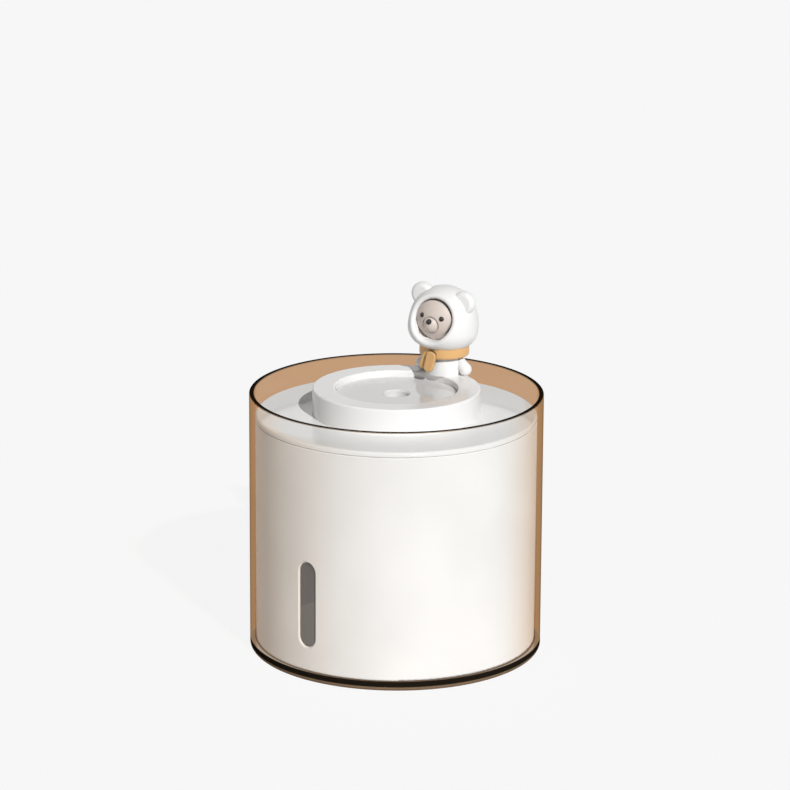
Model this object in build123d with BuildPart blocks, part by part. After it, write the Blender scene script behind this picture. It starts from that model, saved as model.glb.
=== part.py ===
from build123d import *
import os
from math import asin, atan2, cos, degrees, radians, sin, sqrt

# Desktop cool mist humidifier: a white water tank in a transparent outer cup, with a lift-off lid
# that carries the wick-fed mist disc and an ornament figure. Millimetres, Z up, front towards -Y.
# The feet rest on z = 0 and the cups stand on the Z axis.

# Outer cup
shell_radius = 70.0
shell_height = 125.9
shell_wall = 2.4
shell_floor = 4.0
shell_foot_round = 4.0
shell_rim_round = 0.6

# Feet and the screws above them
foot_count = 4
foot_radius = 7.0
foot_circle = 46.0
foot_proud = 0.6
foot_recess = 1.0
foot_start = 45.0
tank_screw_radius = 1.5
tank_screw_length = 6.4
tank_screw_head_radius = 2.8
tank_screw_head_height = 1.6

# Water tank
shell_gap = 0.6
tank_height = 109.0
tank_wall = 2.4
tank_floor = 2.4
tank_floor_raise = 5.4
tank_base_round = 1.2
tank_floor_round = 1.5
tank_boss_wall = 2.5

# Level window, turned from the +X axis
window_angle = -128.3
window_height = 37.2
window_length = 41.4
window_width = 9.5
window_bevel = 0.8
window_recess = 1.0
window_gap = 0.2
window_flange = 2.2
window_flange_thickness = 1.2
window_seal_thickness = 0.4

# Lid
lid_thickness = 2.6
lid_edge_round = 1.2
parting_chamfer = 0.4
lid_skirt_depth = 8.0
lid_skirt_wall = 2.0
lid_fit_gap = 0.35
lid_seal_height = 2.4
lid_seal_depth = 1.1
lid_seal_proud = 0.2
lid_seal_drop = 3.2

# Raised ring on the lid
ring_radius = 40.0
ring_height = 12.6
ring_wall = 2.2
ring_inner_wall = 2.0
ring_opening_radius = 29.2
ring_edge_round = 0.9
ring_ledge = 2.0
ring_ledge_thickness = 1.6
ring_post_count = 4
ring_post_radius = 2.5

# Dish with the mist hole
dish_depth = 3.2
dish_thickness = 2.0
dish_gap = 0.25
nozzle_radius = 6.0
nozzle_chamfer = 0.8
hub_wall = 1.9

# Mist disc and its soft grommet
disc_radius = 8.0
plate_thickness = 0.4
plate_dome_radius = 2.4
plate_dome_height = 0.4
piezo_bore_radius = 5.0
piezo_thickness = 0.6
grommet_radius = 10.0
grommet_lip = 1.4
grommet_gap = 0.2
collar_height = 2.4

# Small screws under the lid
lid_screw_radius = 1.1
lid_screw_length = 9.0
lid_screw_head_radius = 2.2
lid_screw_head_height = 1.5
screw_gap = 0.2

# Driver board at the back of the ring, and what it carries
board_start = 98.0
board_sweep = 74.0
board_bore_radius = 14.5
board_edge_gap = 2.4
board_thickness = 1.6
board_standoff = 1.6
board_screw_radius = 0.8
board_screw_length = 3.2
board_screw_head_radius = 1.6
board_screw_head_height = 1.0
chip_side = 5.0
chip_height = 1.2
coil_side = 5.4
coil_height = 2.4
plug_side = 4.4
plug_height = 2.4
lamp_side = 1.6
lamp_height = 3.2
board_hole_inset = 3.2
board_hole_turn = 12.0
chip_radius = 20.5
coil_radius = 24.0
coil_turn = 20.0

# Power inlet
usb_angle = 117.0
usb_width = 8.94
usb_height = 3.26
usb_length = 7.35
usb_wall = 0.3
usb_recess = 0.8
usb_gap = 0.25
tongue_width = 6.7
tongue_thickness = 0.7
tongue_recess = 1.2
tongue_block = 1.6

# Push button and its switch
button_angle = 150.0
button_radius = 3.0
button_proud = 0.5
button_gap = 0.25
button_flange = 0.8
button_flange_thickness = 0.7
button_stop_gap = 0.4
button_travel = 0.5
switch_width = 6.0
switch_depth = 3.6
switch_height = 4.0
plunger_radius = 1.6
plunger_gap = 0.3
plunger_set = 0.6

# Status light pipe
light_angle = 133.5
light_radius = 1.0

# Wick, its tube under the lid and the spring that lifts it
wick_radius = 4.2
wick_gap = 0.5
wick_end_round = 0.5
wick_disc_gap = 0.3
spigot_wall = 2.3
spigot_length = 10.0
lug_reach = 1.4
lug_height = 2.0
lug_angle = 24.0
lug_drop = 6.5
lug_slack = 2.0
twist_angle = 40.0
tube_wall = 1.6
tube_fit_gap = 0.35
tube_end_gap = 0.6
tube_floor_gap = 2.6
tube_cone_height = 4.0
tube_slot_count = 4
tube_slot_width = 3.2
tube_slot_length = 58.0
cap_floor = 1.6
cap_wall = 1.0
cap_plug_height = 3.0
spring_wire_radius = 0.35
spring_gap = 0.45
spring_length = 10.0
spring_turns = 6

# Ornament figure on the back of the ring: its place, and its look turned from the front to the left
bear_circle = 35.4
bear_angle = 49.7
bear_turn = 29.3
body_base_radius = 8.8
body_belly_radius = 9.1
body_belly_height = 3.6
body_shoulder_radius = 8.7
scarf_radius = 12.0
scarf_inner_radius = 8.4
scarf_bottom = 8.9
scarf_height = 6.6
scarf_round = 1.4
hood_tilt = 4.5
hood_tilt_height = 26.0
hood_shift = -0.5
hood_bottom = 14.0
hood_middle = 22.4
hood_top = 42.9
hood_radius = 17.05
hood_side_round = 30.0
hood_jaw_round = 9.2
face_height = 28.1
face_opening_radius = 9.8
face_pocket_depth = 7.0
face_brim_round = 1.5
face_gap = 0.3
face_edge_depth = 9.8
face_crown_depth = 13.7
muzzle_height = 26.5
muzzle_depth = 11.4
muzzle_radius = 4.3
muzzle_groove = 0.32
eye_side = 5.1
eye_height = 30.1
eye_depth = 12.2
eye_radius = 1.25
nose_height = 28.2
nose_depth = 14.9
nose_radius = 1.4
ear_side = 11.2
ear_height = 37.2
ear_radius = 5.8
ear_forward = 2.0
ear_half_thickness = 2.6
ear_edge_fillet = 2.3
arm_shoulder_side = 9.0
arm_shoulder_height = 6.2
arm_hand_side = 11.9
arm_hand_height = 3.15
arm_hand_forward = 0.6
arm_shoulder_radius = 2.4
arm_hand_radius = 3.1
tail_width = 4.8
tail_thickness = 1.9
tail_round = 2.2
tail_edge_fillet = 0.7
tail_top = 13.2
front_tail_length = 10.7
front_tail_side = 0.2
front_tail_lean = 14.0
front_tail_depth = 11.4
rear_tail_length = 10.4
rear_tail_side = -2.4
rear_tail_lean = 21.0
rear_tail_depth = 9.3
bear_screw_length = 7.0
bear_screw_turn = 8.0

# Radii of the cups and the parts on their walls
shell_inner = shell_radius - shell_wall
tank_radius = shell_inner - shell_gap
tank_inner = tank_radius - tank_wall
lens_face = tank_radius - window_recess
lens_flange_face = tank_inner - window_seal_thickness
lens_back = lens_flange_face - window_flange_thickness
skirt_radius = tank_inner - lid_fit_gap
skirt_inner = skirt_radius - lid_skirt_wall
seal_groove_radius = skirt_radius - lid_seal_depth
ring_bay_radius = ring_radius - ring_wall
ring_inner_back = ring_opening_radius + ring_inner_wall
ring_post_circle = (ring_bay_radius + ring_inner_back) / 2
hub_bore = grommet_radius + grommet_gap
board_radius = ring_bay_radius - board_edge_gap
wick_bore = wick_radius + wick_gap
spigot_radius = wick_bore + spigot_wall
lug_radius = spigot_radius + lug_reach
socket_inner = spigot_radius + tube_fit_gap
socket_radius = lug_radius + tube_wall / 2
tube_inner = wick_bore + tube_fit_gap
tube_radius = tube_inner + tube_wall
cap_bore = tube_inner - cap_wall
spring_radius = cap_bore - spring_gap - spring_wire_radius
usb_back = ring_radius - usb_recess - usb_length
button_back = ring_bay_radius - button_stop_gap - button_flange_thickness
switch_face = board_radius
face_radius = face_opening_radius - face_gap
face_rise = face_crown_depth - face_edge_depth

# Heights above the table
shell_under = foot_proud
shell_floor_top = shell_under + shell_floor
shell_rim = shell_under + shell_height
foot_top = shell_under + foot_recess
tank_screw_seat = foot_top + tank_screw_head_height
tank_floor_under = shell_floor_top + tank_floor_raise
tank_floor_top = tank_floor_under + tank_floor
tank_rim = shell_floor_top + tank_height
lid_top = tank_rim + lid_thickness
skirt_bottom = tank_rim - lid_skirt_depth
seal_groove_top = tank_rim - lid_seal_drop
seal_groove_bottom = seal_groove_top - lid_seal_height
ring_top = lid_top + ring_height
ring_ceiling = ring_top - ring_wall
dish_top = ring_top - dish_depth
dish_under = dish_top - dish_thickness
ring_ledge_under = dish_under - ring_ledge_thickness
collar_top = lid_top + collar_height
disc_under = collar_top + grommet_lip
disc_top = disc_under + plate_thickness + piezo_thickness
grommet_top = disc_top + grommet_lip
board_under = lid_top + board_standoff
board_top = board_under + board_thickness
usb_middle = board_top + usb_height / 2
button_middle = board_top + switch_height / 2
spigot_bottom = tank_rim - spigot_length
lug_bottom = tank_rim - lug_drop - lug_height / 2
lug_top = lug_bottom + lug_height
socket_top = tank_rim - tube_end_gap
socket_bottom = spigot_bottom - tube_end_gap
tube_cone_bottom = socket_bottom - tube_cone_height
cap_under = tank_floor_top + tube_floor_gap
tube_bottom = cap_under + cap_floor
wick_bottom = tube_bottom + spring_length
wick_top = disc_under - wick_disc_gap
spring_pitch = (spring_length - 2 * spring_wire_radius) / spring_turns
scarf_top = scarf_bottom + scarf_height
jaw_angle = degrees(asin((hood_middle - hood_bottom) / hood_jaw_round))
side_reach = hood_side_round - hood_radius
crown_rise = hood_top - hood_side_round
crown_middle = (crown_rise**2 - hood_middle**2 - side_reach**2) / (2 * (crown_rise - hood_middle))
crown_angle = degrees(atan2(crown_middle - hood_middle, side_reach))


# The figure's own frame on the ring: side to the right of who faces it, back away from its look.
# Its head leans over to that side.
bear_back = Vector(sin(radians(bear_turn)), cos(radians(bear_turn)), 0)
bear_side = Vector(cos(radians(bear_turn)), -sin(radians(bear_turn)), 0)
bear_up = Vector(0, 0, 1)
bear_base = Vector(bear_circle, 0, ring_top).rotate(Axis.Z, bear_angle)
bear_axis = Axis(bear_base, bear_up)
hood_side = bear_side * cos(radians(hood_tilt)) - bear_up * sin(radians(hood_tilt))
hood_up = bear_up * cos(radians(hood_tilt)) + bear_side * sin(radians(hood_tilt))
hood_base = bear_base + bear_side * hood_shift + (bear_up - hood_up) * hood_tilt_height
hood_axis = Axis(hood_base, hood_up)


def half_section(*corners):
    """Half section beside the Z axis, from the radius, height and rounding of each corner."""
    with BuildSketch(Plane.XZ) as section:
        with BuildLine():
            FilletPolyline(
                *[(radius, height) for radius, height, _ in corners],
                radius=[rounding for _, _, rounding in corners],
                close=True,
            )
        make_face()
    return section.sketch.face()


def outward_plane(angle, radius, height):
    """Upright plane that faces straight out from the Z axis, with its y axis up."""
    direction = Vector(1, 0, 0).rotate(Axis.Z, angle)
    return Plane(direction * radius + Vector(0, 0, height), Vector(0, 0, 1).cross(direction), direction)


def sector_section(angle, inner, outer, low, high):
    """Rectangle in the upright plane through Z at an angle, to be turned about Z."""
    direction = Vector(1, 0, 0).rotate(Axis.Z, angle)
    middle = direction * (inner + outer) / 2 + Vector(0, 0, (low + high) / 2)
    with BuildSketch(Plane(middle, direction, direction.cross(Vector(0, 0, 1)))) as section:
        Rectangle(outer - inner, high - low)
    return section.sketch.face()


def bear_point(side, back, height):
    """Place in the frame of the figure."""
    return bear_base + bear_side * side + bear_back * back + bear_up * height


def bear_front(height, forward=0.0):
    """Upright plane that faces where the figure looks, with its y axis up."""
    return Plane(bear_point(0, -forward, height), bear_side, -bear_back)


def hood_point(side, back, height):
    """Place in the leaning frame of the head."""
    return hood_base + hood_side * side + bear_back * back + hood_up * height


def hood_front(height, forward=0.0):
    """Plane of the head that faces where the figure looks, with its y axis to the crown."""
    return Plane(hood_point(0, -forward, height), hood_side, -bear_back)


def hood_level(side, height, forward=0.0):
    """Plane across the head, with its y axis to the back."""
    return Plane(hood_point(side, -forward, height), hood_side, hood_up)


def around(radius, angle):
    """Place at a radius and an angle about the Z axis."""
    return Vector(radius, 0, 0).rotate(Axis.Z, angle)


def screw(radius, length, head_radius, head_height):
    """Pan-head screw that points up, with the underside of its head at the origin."""
    with BuildPart() as fixing:
        Cylinder(radius, length, align=(Align.CENTER, Align.CENTER, Align.MIN))
        Cylinder(head_radius, head_height, align=(Align.CENTER, Align.CENTER, Align.MAX))
        fillet(fixing.faces().sort_by(Axis.Z)[0].edges(), head_height / 3)
    return fixing.part


def coil_point(turn):
    """Centre of the spring's wire after a number of turns."""
    sweep_angle = radians(360 * turn)
    climb = tube_bottom + spring_wire_radius + spring_pitch * turn
    return Vector(spring_radius * cos(sweep_angle), spring_radius * sin(sweep_angle), climb)


def coil_direction(turn):
    """Direction of the spring's wire after a number of turns."""
    sweep_angle = radians(360 * turn)
    turn_length = radians(360) * spring_radius
    return Vector(-turn_length * sin(sweep_angle), turn_length * cos(sweep_angle), spring_pitch).normalized()


# Places that several pieces share
lug_places = (0, 180)
board_middle = board_start + board_sweep / 2
board_places = [
    around(board_bore_radius + board_hole_inset, board_start + board_hole_turn),
    around(board_bore_radius + board_hole_inset, board_start + board_sweep - board_hole_turn),
    around(ring_inner_back - board_hole_inset, board_middle),
]
chip_place = Location(around(chip_radius, board_middle), (0, 0, board_middle))
coil_place = Location(around(coil_radius, board_middle - coil_turn))
plug_place = Location(around(coil_radius, board_middle + coil_turn), (0, 0, board_middle + coil_turn))
lamp_place = Location(around(board_radius - lamp_side, light_angle), (0, 0, light_angle))
bear_screw_places = [
    around(ring_post_circle, bear_angle + turn) for turn in (-bear_screw_turn, bear_screw_turn)
]
dome_radius = (face_radius**2 + face_rise**2) / (2 * face_rise)
dome_centre = hood_point(0, dome_radius - face_crown_depth, face_height)
muzzle_centre = hood_point(0, -muzzle_depth, muzzle_height)
muzzle_line = (muzzle_centre - dome_centre).normalized()
muzzle_reach = (muzzle_centre - dome_centre).length
seam_depth = (muzzle_reach**2 + muzzle_radius**2 - dome_radius**2) / (2 * muzzle_reach)
seam_radius = sqrt(muzzle_radius**2 - seam_depth**2)
eye_places = [hood_point(side * eye_side, -eye_depth, eye_height) for side in (-1, 1)]
nose_place = hood_point(0, -nose_depth, nose_height)

# Transparent outer cup, with recesses under it for the feet and the screws that hold the tank
with BuildPart() as outer_shell:
    revolve(
        half_section(
            (0, shell_under, 0),
            (shell_radius, shell_under, shell_foot_round),
            (shell_radius, shell_rim, shell_rim_round),
            (shell_inner, shell_rim, shell_rim_round),
            (shell_inner, shell_floor_top, 0),
            (0, shell_floor_top, 0),
        )
    )
    with BuildSketch(Plane.XY.offset(shell_under)):
        with PolarLocations(foot_circle, foot_count, start_angle=foot_start):
            Circle(foot_radius)
    extrude(amount=foot_recess, mode=Mode.SUBTRACT)
    with BuildSketch(Plane.XY.offset(foot_top)):
        with PolarLocations(foot_circle, foot_count, start_angle=foot_start):
            Circle(tank_screw_head_radius + screw_gap)
    extrude(amount=tank_screw_head_height, mode=Mode.SUBTRACT)
    with BuildSketch(Plane.XY.offset(tank_screw_seat)):
        with PolarLocations(foot_circle, foot_count, start_angle=foot_start):
            Circle(tank_screw_radius + screw_gap)
    extrude(amount=shell_floor, mode=Mode.SUBTRACT)

# Soft feet
with BuildPart() as feet:
    with BuildSketch():
        with PolarLocations(foot_circle, foot_count, start_angle=foot_start):
            Circle(foot_radius)
    extrude(amount=foot_top)
    fillet(feet.edges().group_by(Axis.Z)[0], foot_proud / 2)

# Screws above the feet
tank_screw = screw(tank_screw_radius, tank_screw_length, tank_screw_head_radius, tank_screw_head_height)
with BuildPart(Plane.XY.offset(tank_screw_seat)) as tank_screws:
    with PolarLocations(foot_circle, foot_count, start_angle=foot_start):
        add(tank_screw)

# White water tank with a raised floor, bosses under it and the slot of the level window
with BuildPart() as water_tank:
    revolve(
        half_section(
            (0, tank_floor_under, 0),
            (tank_inner, tank_floor_under, 0),
            (tank_inner, shell_floor_top, 0),
            (tank_radius, shell_floor_top, tank_base_round),
            (tank_radius, tank_rim - parting_chamfer, 0),
            (tank_radius - parting_chamfer, tank_rim, 0),
            (tank_inner + parting_chamfer, tank_rim, 0),
            (tank_inner, tank_rim - parting_chamfer, 0),
            (tank_inner, tank_floor_top, tank_floor_round),
            (0, tank_floor_top, 0),
        )
    )
    with BuildSketch(Plane.XY.offset(shell_floor_top)):
        with PolarLocations(foot_circle, foot_count, start_angle=foot_start):
            Circle(tank_screw_radius + tank_boss_wall)
    extrude(amount=tank_floor_raise)
    with BuildSketch(Plane.XY.offset(shell_floor_top)):
        with PolarLocations(foot_circle, foot_count, start_angle=foot_start):
            Circle(tank_screw_radius)
    extrude(amount=tank_screw_seat + tank_screw_length + screw_gap - shell_floor_top, mode=Mode.SUBTRACT)
    with BuildSketch(outward_plane(window_angle, lens_back, window_height)):
        SlotOverall(window_length, window_width, rotation=90)
    extrude(amount=shell_radius - lens_back, mode=Mode.SUBTRACT)
    with BuildSketch(outward_plane(window_angle, tank_radius - window_bevel, window_height)):
        SlotOverall(window_length, window_width, rotation=90)
    extrude(amount=2 * window_bevel, taper=-45, mode=Mode.SUBTRACT)

# Smoked lens, set in from inside the tank, with a flange behind the slot
with BuildPart() as level_window:
    with BuildSketch(outward_plane(window_angle, lens_back - window_flange, window_height)):
        SlotOverall(window_length + 2 * window_flange, window_width + 2 * window_flange, rotation=90)
    extrude(amount=shell_radius - lens_back)
    with Locations((0, 0, window_height)):
        Cylinder(lens_flange_face, 2 * window_length, mode=Mode.INTERSECT)
    with BuildSketch(outward_plane(window_angle, lens_back - window_flange, window_height)):
        SlotOverall(window_length - 2 * window_gap, window_width - 2 * window_gap, rotation=90)
    extrude(amount=shell_radius - lens_back)
    with Locations((0, 0, window_height)):
        Cylinder(lens_face, 2 * window_length, mode=Mode.INTERSECT)
        Cylinder(lens_back, 2 * window_length, mode=Mode.SUBTRACT)

# Gasket between the flange of the lens and the wall of the tank
with BuildPart() as window_seal:
    with BuildSketch(outward_plane(window_angle, lens_back - window_flange, window_height)):
        SlotOverall(window_length + 2 * window_flange, window_width + 2 * window_flange, rotation=90)
        SlotOverall(window_length, window_width, rotation=90, mode=Mode.SUBTRACT)
    extrude(amount=shell_radius - lens_back)
    with Locations((0, 0, window_height)):
        Cylinder(tank_inner, 2 * window_length, mode=Mode.INTERSECT)
        Cylinder(lens_flange_face, 2 * window_length, mode=Mode.SUBTRACT)

# Lid with its skirt, the collar of the mist disc, the spigot of the wick tube and the board's bosses
with BuildPart() as lid_plate:
    revolve(
        half_section(
            (wick_bore, spigot_bottom, 0),
            (spigot_radius, spigot_bottom, 0),
            (spigot_radius, tank_rim, 0),
            (skirt_inner, tank_rim, 0),
            (skirt_inner, skirt_bottom, 0),
            (skirt_radius, skirt_bottom, 0),
            (skirt_radius, seal_groove_bottom, 0),
            (seal_groove_radius, seal_groove_bottom, 0),
            (seal_groove_radius, seal_groove_top, 0),
            (skirt_radius, seal_groove_top, 0),
            (skirt_radius, tank_rim, 0),
            (tank_radius - parting_chamfer, tank_rim, 0),
            (tank_radius, tank_rim + parting_chamfer, 0),
            (tank_radius, lid_top, lid_edge_round),
            (grommet_radius, lid_top, 0),
            (grommet_radius, collar_top, 0),
            (wick_bore, collar_top, 0),
        )
    )
    for lug_place in lug_places:
        lug_start = lug_place - lug_angle / 2
        lug_section = sector_section(lug_start, wick_bore + spigot_wall / 2, lug_radius, lug_bottom, lug_top)
        revolve(lug_section, revolution_arc=lug_angle)
    with BuildSketch(Plane.XY.offset(lid_top)):
        with Locations(*board_places):
            Circle(board_screw_head_radius)
    extrude(amount=board_standoff)
    with BuildSketch(Plane.XY.offset(board_under)):
        with Locations(*board_places):
            Circle(board_screw_radius)
    extrude(amount=board_thickness - board_screw_length - screw_gap, mode=Mode.SUBTRACT)
    with BuildSketch(Plane.XY.offset(tank_rim)):
        with PolarLocations(ring_post_circle, ring_post_count):
            Circle(lid_screw_radius + screw_gap)
    extrude(amount=lid_thickness, mode=Mode.SUBTRACT)

# Soft ring in the groove of the skirt
with BuildPart() as lid_seal:
    revolve(
        half_section(
            (seal_groove_radius, seal_groove_bottom, 0),
            (skirt_radius + lid_seal_proud, seal_groove_bottom, lid_seal_proud),
            (skirt_radius + lid_seal_proud, seal_groove_top, lid_seal_proud),
            (seal_groove_radius, seal_groove_top, 0),
        )
    )

# Raised ring: a hollow rim with screw posts, a ledge for the dish and openings in its rear wall
with BuildPart() as mist_ring:
    revolve(
        half_section(
            (ring_bay_radius, lid_top, 0),
            (ring_radius, lid_top, 0),
            (ring_radius, ring_top, ring_edge_round),
            (ring_opening_radius, ring_top, ring_edge_round),
            (ring_opening_radius, dish_under, 0),
            (ring_opening_radius - ring_ledge, dish_under, 0),
            (ring_opening_radius - ring_ledge, ring_ledge_under, 0),
            (ring_inner_back, ring_ledge_under, 0),
            (ring_inner_back, ring_ceiling, 0),
            (ring_bay_radius, ring_ceiling, 0),
        )
    )
    with BuildSketch(Plane.XY.offset(lid_top)):
        with PolarLocations(ring_post_circle, ring_post_count):
            Circle(ring_post_radius)
    extrude(amount=ring_ceiling - lid_top)
    with BuildSketch(Plane.XY.offset(lid_top)):
        with PolarLocations(ring_post_circle, ring_post_count):
            Circle(lid_screw_radius)
    extrude(amount=lid_screw_length - lid_thickness + screw_gap, mode=Mode.SUBTRACT)
    with BuildSketch(Plane.XY.offset(ring_ceiling)):
        with Locations(*bear_screw_places):
            Circle(lid_screw_radius + screw_gap)
    extrude(amount=ring_wall, mode=Mode.SUBTRACT)
    with BuildSketch(outward_plane(usb_angle, board_radius, usb_middle)):
        SlotOverall(usb_width + 2 * usb_gap, usb_height + 2 * usb_gap)
    extrude(amount=ring_radius - board_radius, mode=Mode.SUBTRACT)
    with BuildSketch(outward_plane(button_angle, board_radius, button_middle)):
        Circle(button_radius + button_gap)
    extrude(amount=ring_radius - board_radius, mode=Mode.SUBTRACT)
    with BuildSketch(outward_plane(light_angle, board_radius, button_middle)):
        Circle(light_radius)
    extrude(amount=ring_radius - board_radius, mode=Mode.SUBTRACT)

# Sunk dish with the mist hole and a hub that clamps the grommet
with BuildPart() as mist_dish:
    revolve(
        half_section(
            (nozzle_radius, grommet_top, 0),
            (hub_bore, grommet_top, 0),
            (hub_bore, disc_under, 0),
            (hub_bore + hub_wall, disc_under, 0),
            (hub_bore + hub_wall, dish_under, 0),
            (ring_opening_radius - dish_gap, dish_under, 0),
            (ring_opening_radius - dish_gap, dish_top, 0),
            (nozzle_radius + nozzle_chamfer, dish_top, 0),
            (nozzle_radius, dish_top - nozzle_chamfer, 0),
        )
    )

# Soft grommet round the mist disc
with BuildPart() as atomiser_seal:
    revolve(
        half_section(
            (wick_bore, collar_top, 0),
            (grommet_radius, collar_top, 0),
            (grommet_radius, grommet_top, 0),
            (nozzle_radius, grommet_top, 0),
            (nozzle_radius, disc_top, 0),
            (disc_radius, disc_top, 0),
            (disc_radius, disc_under, 0),
            (wick_bore, disc_under, 0),
        )
    )

# Perforated metal plate of the mist disc, domed in the middle
with BuildPart() as mesh_plate:
    with BuildSketch(Plane.XZ):
        with BuildLine():
            under = TangentArc(
                (0, disc_under + plate_dome_height), (plate_dome_radius, disc_under), tangent=(1, 0)
            )
            over = TangentArc(
                (0, disc_under + plate_dome_height + plate_thickness),
                (plate_dome_radius, disc_under + plate_thickness),
                tangent=(1, 0),
            )
            Polyline(
                under @ 1, (disc_radius, disc_under), (disc_radius, disc_under + plate_thickness), over @ 1
            )
            Line(over @ 0, under @ 0)
        make_face()
    revolve()

# Ceramic ring on the plate
with BuildPart() as piezo_ring:
    with BuildSketch(Plane.XY.offset(disc_under + plate_thickness)):
        Circle(disc_radius - grommet_gap)
        Circle(piezo_bore_radius, mode=Mode.SUBTRACT)
    extrude(amount=piezo_thickness)

# Driver board
with BuildPart() as control_board:
    with BuildSketch(Plane.XY.offset(board_under)):
        with BuildLine():
            outer_edge = CenterArc((0, 0), board_radius, board_start, board_sweep)
            inner_edge = CenterArc((0, 0), board_bore_radius, board_start, board_sweep)
            Line(outer_edge @ 0, inner_edge @ 0)
            Line(outer_edge @ 1, inner_edge @ 1)
        make_face()
        with Locations(*board_places):
            Circle(board_screw_radius + screw_gap, mode=Mode.SUBTRACT)
    extrude(amount=board_thickness)

# Chip, coil, plug of the disc's leads and lamp on the board
with BuildPart(Plane.XY.offset(board_top)) as board_parts:
    on_board = (Align.CENTER, Align.CENTER, Align.MIN)
    with Locations(chip_place):
        Box(chip_side, chip_side, chip_height, align=on_board)
    with Locations(coil_place):
        Cylinder(coil_side / 2, coil_height, align=on_board)
    with Locations(plug_place):
        Box(plug_side, plug_side, plug_height, align=on_board)
    with Locations(lamp_place):
        Box(lamp_side, lamp_side, lamp_height, align=on_board)

# Screws of the board, pointing down
board_screw = screw(
    board_screw_radius, board_screw_length, board_screw_head_radius, board_screw_head_height
)
with BuildPart(Plane.XY.offset(board_top)) as board_screws:
    with Locations(*board_places):
        add(board_screw, rotation=(180, 0, 0))

# Screws of the ring, up through the lid
lid_screw = screw(lid_screw_radius, lid_screw_length, lid_screw_head_radius, lid_screw_head_height)
with BuildPart(Plane.XY.offset(tank_rim)) as ring_screws:
    with PolarLocations(ring_post_circle, ring_post_count):
        add(lid_screw)

# Screws of the figure, up through the top of the ring
bear_screw = screw(lid_screw_radius, bear_screw_length, lid_screw_head_radius, lid_screw_head_height)
with BuildPart(Plane.XY.offset(ring_ceiling)) as bear_screws:
    with Locations(*bear_screw_places):
        add(bear_screw)

# Metal shell of the power inlet
with BuildPart() as usb_shell:
    with BuildSketch(outward_plane(usb_angle, usb_back, usb_middle)):
        SlotOverall(usb_width, usb_height)
        SlotOverall(usb_width - 2 * usb_wall, usb_height - 2 * usb_wall, mode=Mode.SUBTRACT)
    extrude(amount=usb_length)

# Insulator of the power inlet, with its tongue
with BuildPart() as usb_tongue:
    with BuildSketch(outward_plane(usb_angle, usb_back, usb_middle)):
        SlotOverall(usb_width - 2 * usb_wall, usb_height - 2 * usb_wall)
    extrude(amount=tongue_block)
    with BuildSketch(outward_plane(usb_angle, usb_back, usb_middle)):
        Rectangle(tongue_width, tongue_thickness)
    extrude(amount=usb_length - tongue_recess)

# Switch on the edge of the board, with a well for its plunger
with BuildPart() as switch_body:
    with BuildSketch(outward_plane(button_angle, switch_face - switch_depth, button_middle)):
        Rectangle(switch_width, switch_height)
    extrude(amount=switch_depth)
    with BuildSketch(outward_plane(button_angle, switch_face, button_middle)):
        Circle(plunger_radius + plunger_gap)
    extrude(amount=-plunger_set - button_travel - plunger_gap, mode=Mode.SUBTRACT)

# Plunger between the switch and the button
with BuildPart() as switch_plunger:
    with BuildSketch(outward_plane(button_angle, switch_face - plunger_set, button_middle)):
        Circle(plunger_radius)
    extrude(amount=button_back - switch_face + plunger_set)

# Button cap with a flange behind the wall of the ring
with BuildPart() as power_button:
    with BuildSketch(outward_plane(button_angle, button_back, button_middle)):
        Circle(button_radius + button_flange)
    extrude(amount=button_flange_thickness)
    with BuildSketch(outward_plane(button_angle, button_back, button_middle)):
        Circle(button_radius)
    extrude(amount=ring_radius + button_proud - button_back)
    button_axis = Axis((0, 0, button_middle), around(1, button_angle))
    fillet(power_button.faces().sort_by(button_axis)[-1].edges(), button_proud / 2)

# Light pipe from the lamp to the wall of the ring
with BuildPart() as status_light:
    with BuildSketch(outward_plane(light_angle, board_radius, button_middle)):
        Circle(light_radius)
    extrude(amount=ring_radius - board_radius)

# Wick tube: a bayonet socket under the lid and a slotted tube down to the tank's floor
with BuildPart() as wick_tube:
    revolve(
        half_section(
            (socket_inner, socket_top, 0),
            (socket_radius, socket_top, 0),
            (socket_radius, socket_bottom, 0),
            (tube_radius, tube_cone_bottom, 0),
            (tube_radius, tube_bottom, 0),
            (tube_inner, tube_bottom, 0),
            (tube_inner, socket_bottom, 0),
            (socket_inner, socket_bottom, 0),
        )
    )
    for slot_index in range(tube_slot_count):
        slot_angle = 360 / tube_slot_count * (slot_index + 0.5)
        with BuildSketch(outward_plane(slot_angle, cap_bore, (tube_cone_bottom + tube_bottom) / 2)):
            SlotOverall(tube_slot_length, tube_slot_width, rotation=90)
        extrude(amount=tube_radius, mode=Mode.SUBTRACT)
    for lug_place in lug_places:
        slot_start = lug_place - lug_angle / 2 - twist_angle - lug_slack
        slot_outer = socket_radius + tube_wall
        slot_low = lug_bottom - tube_fit_gap
        slot_high = lug_top + tube_fit_gap
        turn_section = sector_section(slot_start, spigot_radius, slot_outer, slot_low, slot_high)
        entry_section = sector_section(slot_start, spigot_radius, slot_outer, lug_top, socket_top + tube_wall)
        revolve(turn_section, revolution_arc=lug_angle + twist_angle + 2 * lug_slack, mode=Mode.SUBTRACT)
        revolve(entry_section, revolution_arc=lug_angle + 2 * lug_slack, mode=Mode.SUBTRACT)

# Cap that closes the tube and seats the spring
with BuildPart() as wick_cap:
    revolve(
        half_section(
            (0, cap_under, 0),
            (tube_radius, cap_under, cap_floor / 2),
            (tube_radius, tube_bottom, 0),
            (tube_inner, tube_bottom, 0),
            (tube_inner, tube_bottom + cap_plug_height, 0),
            (cap_bore, tube_bottom + cap_plug_height, 0),
            (cap_bore, tube_bottom, 0),
            (0, tube_bottom, 0),
        )
    )

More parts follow.
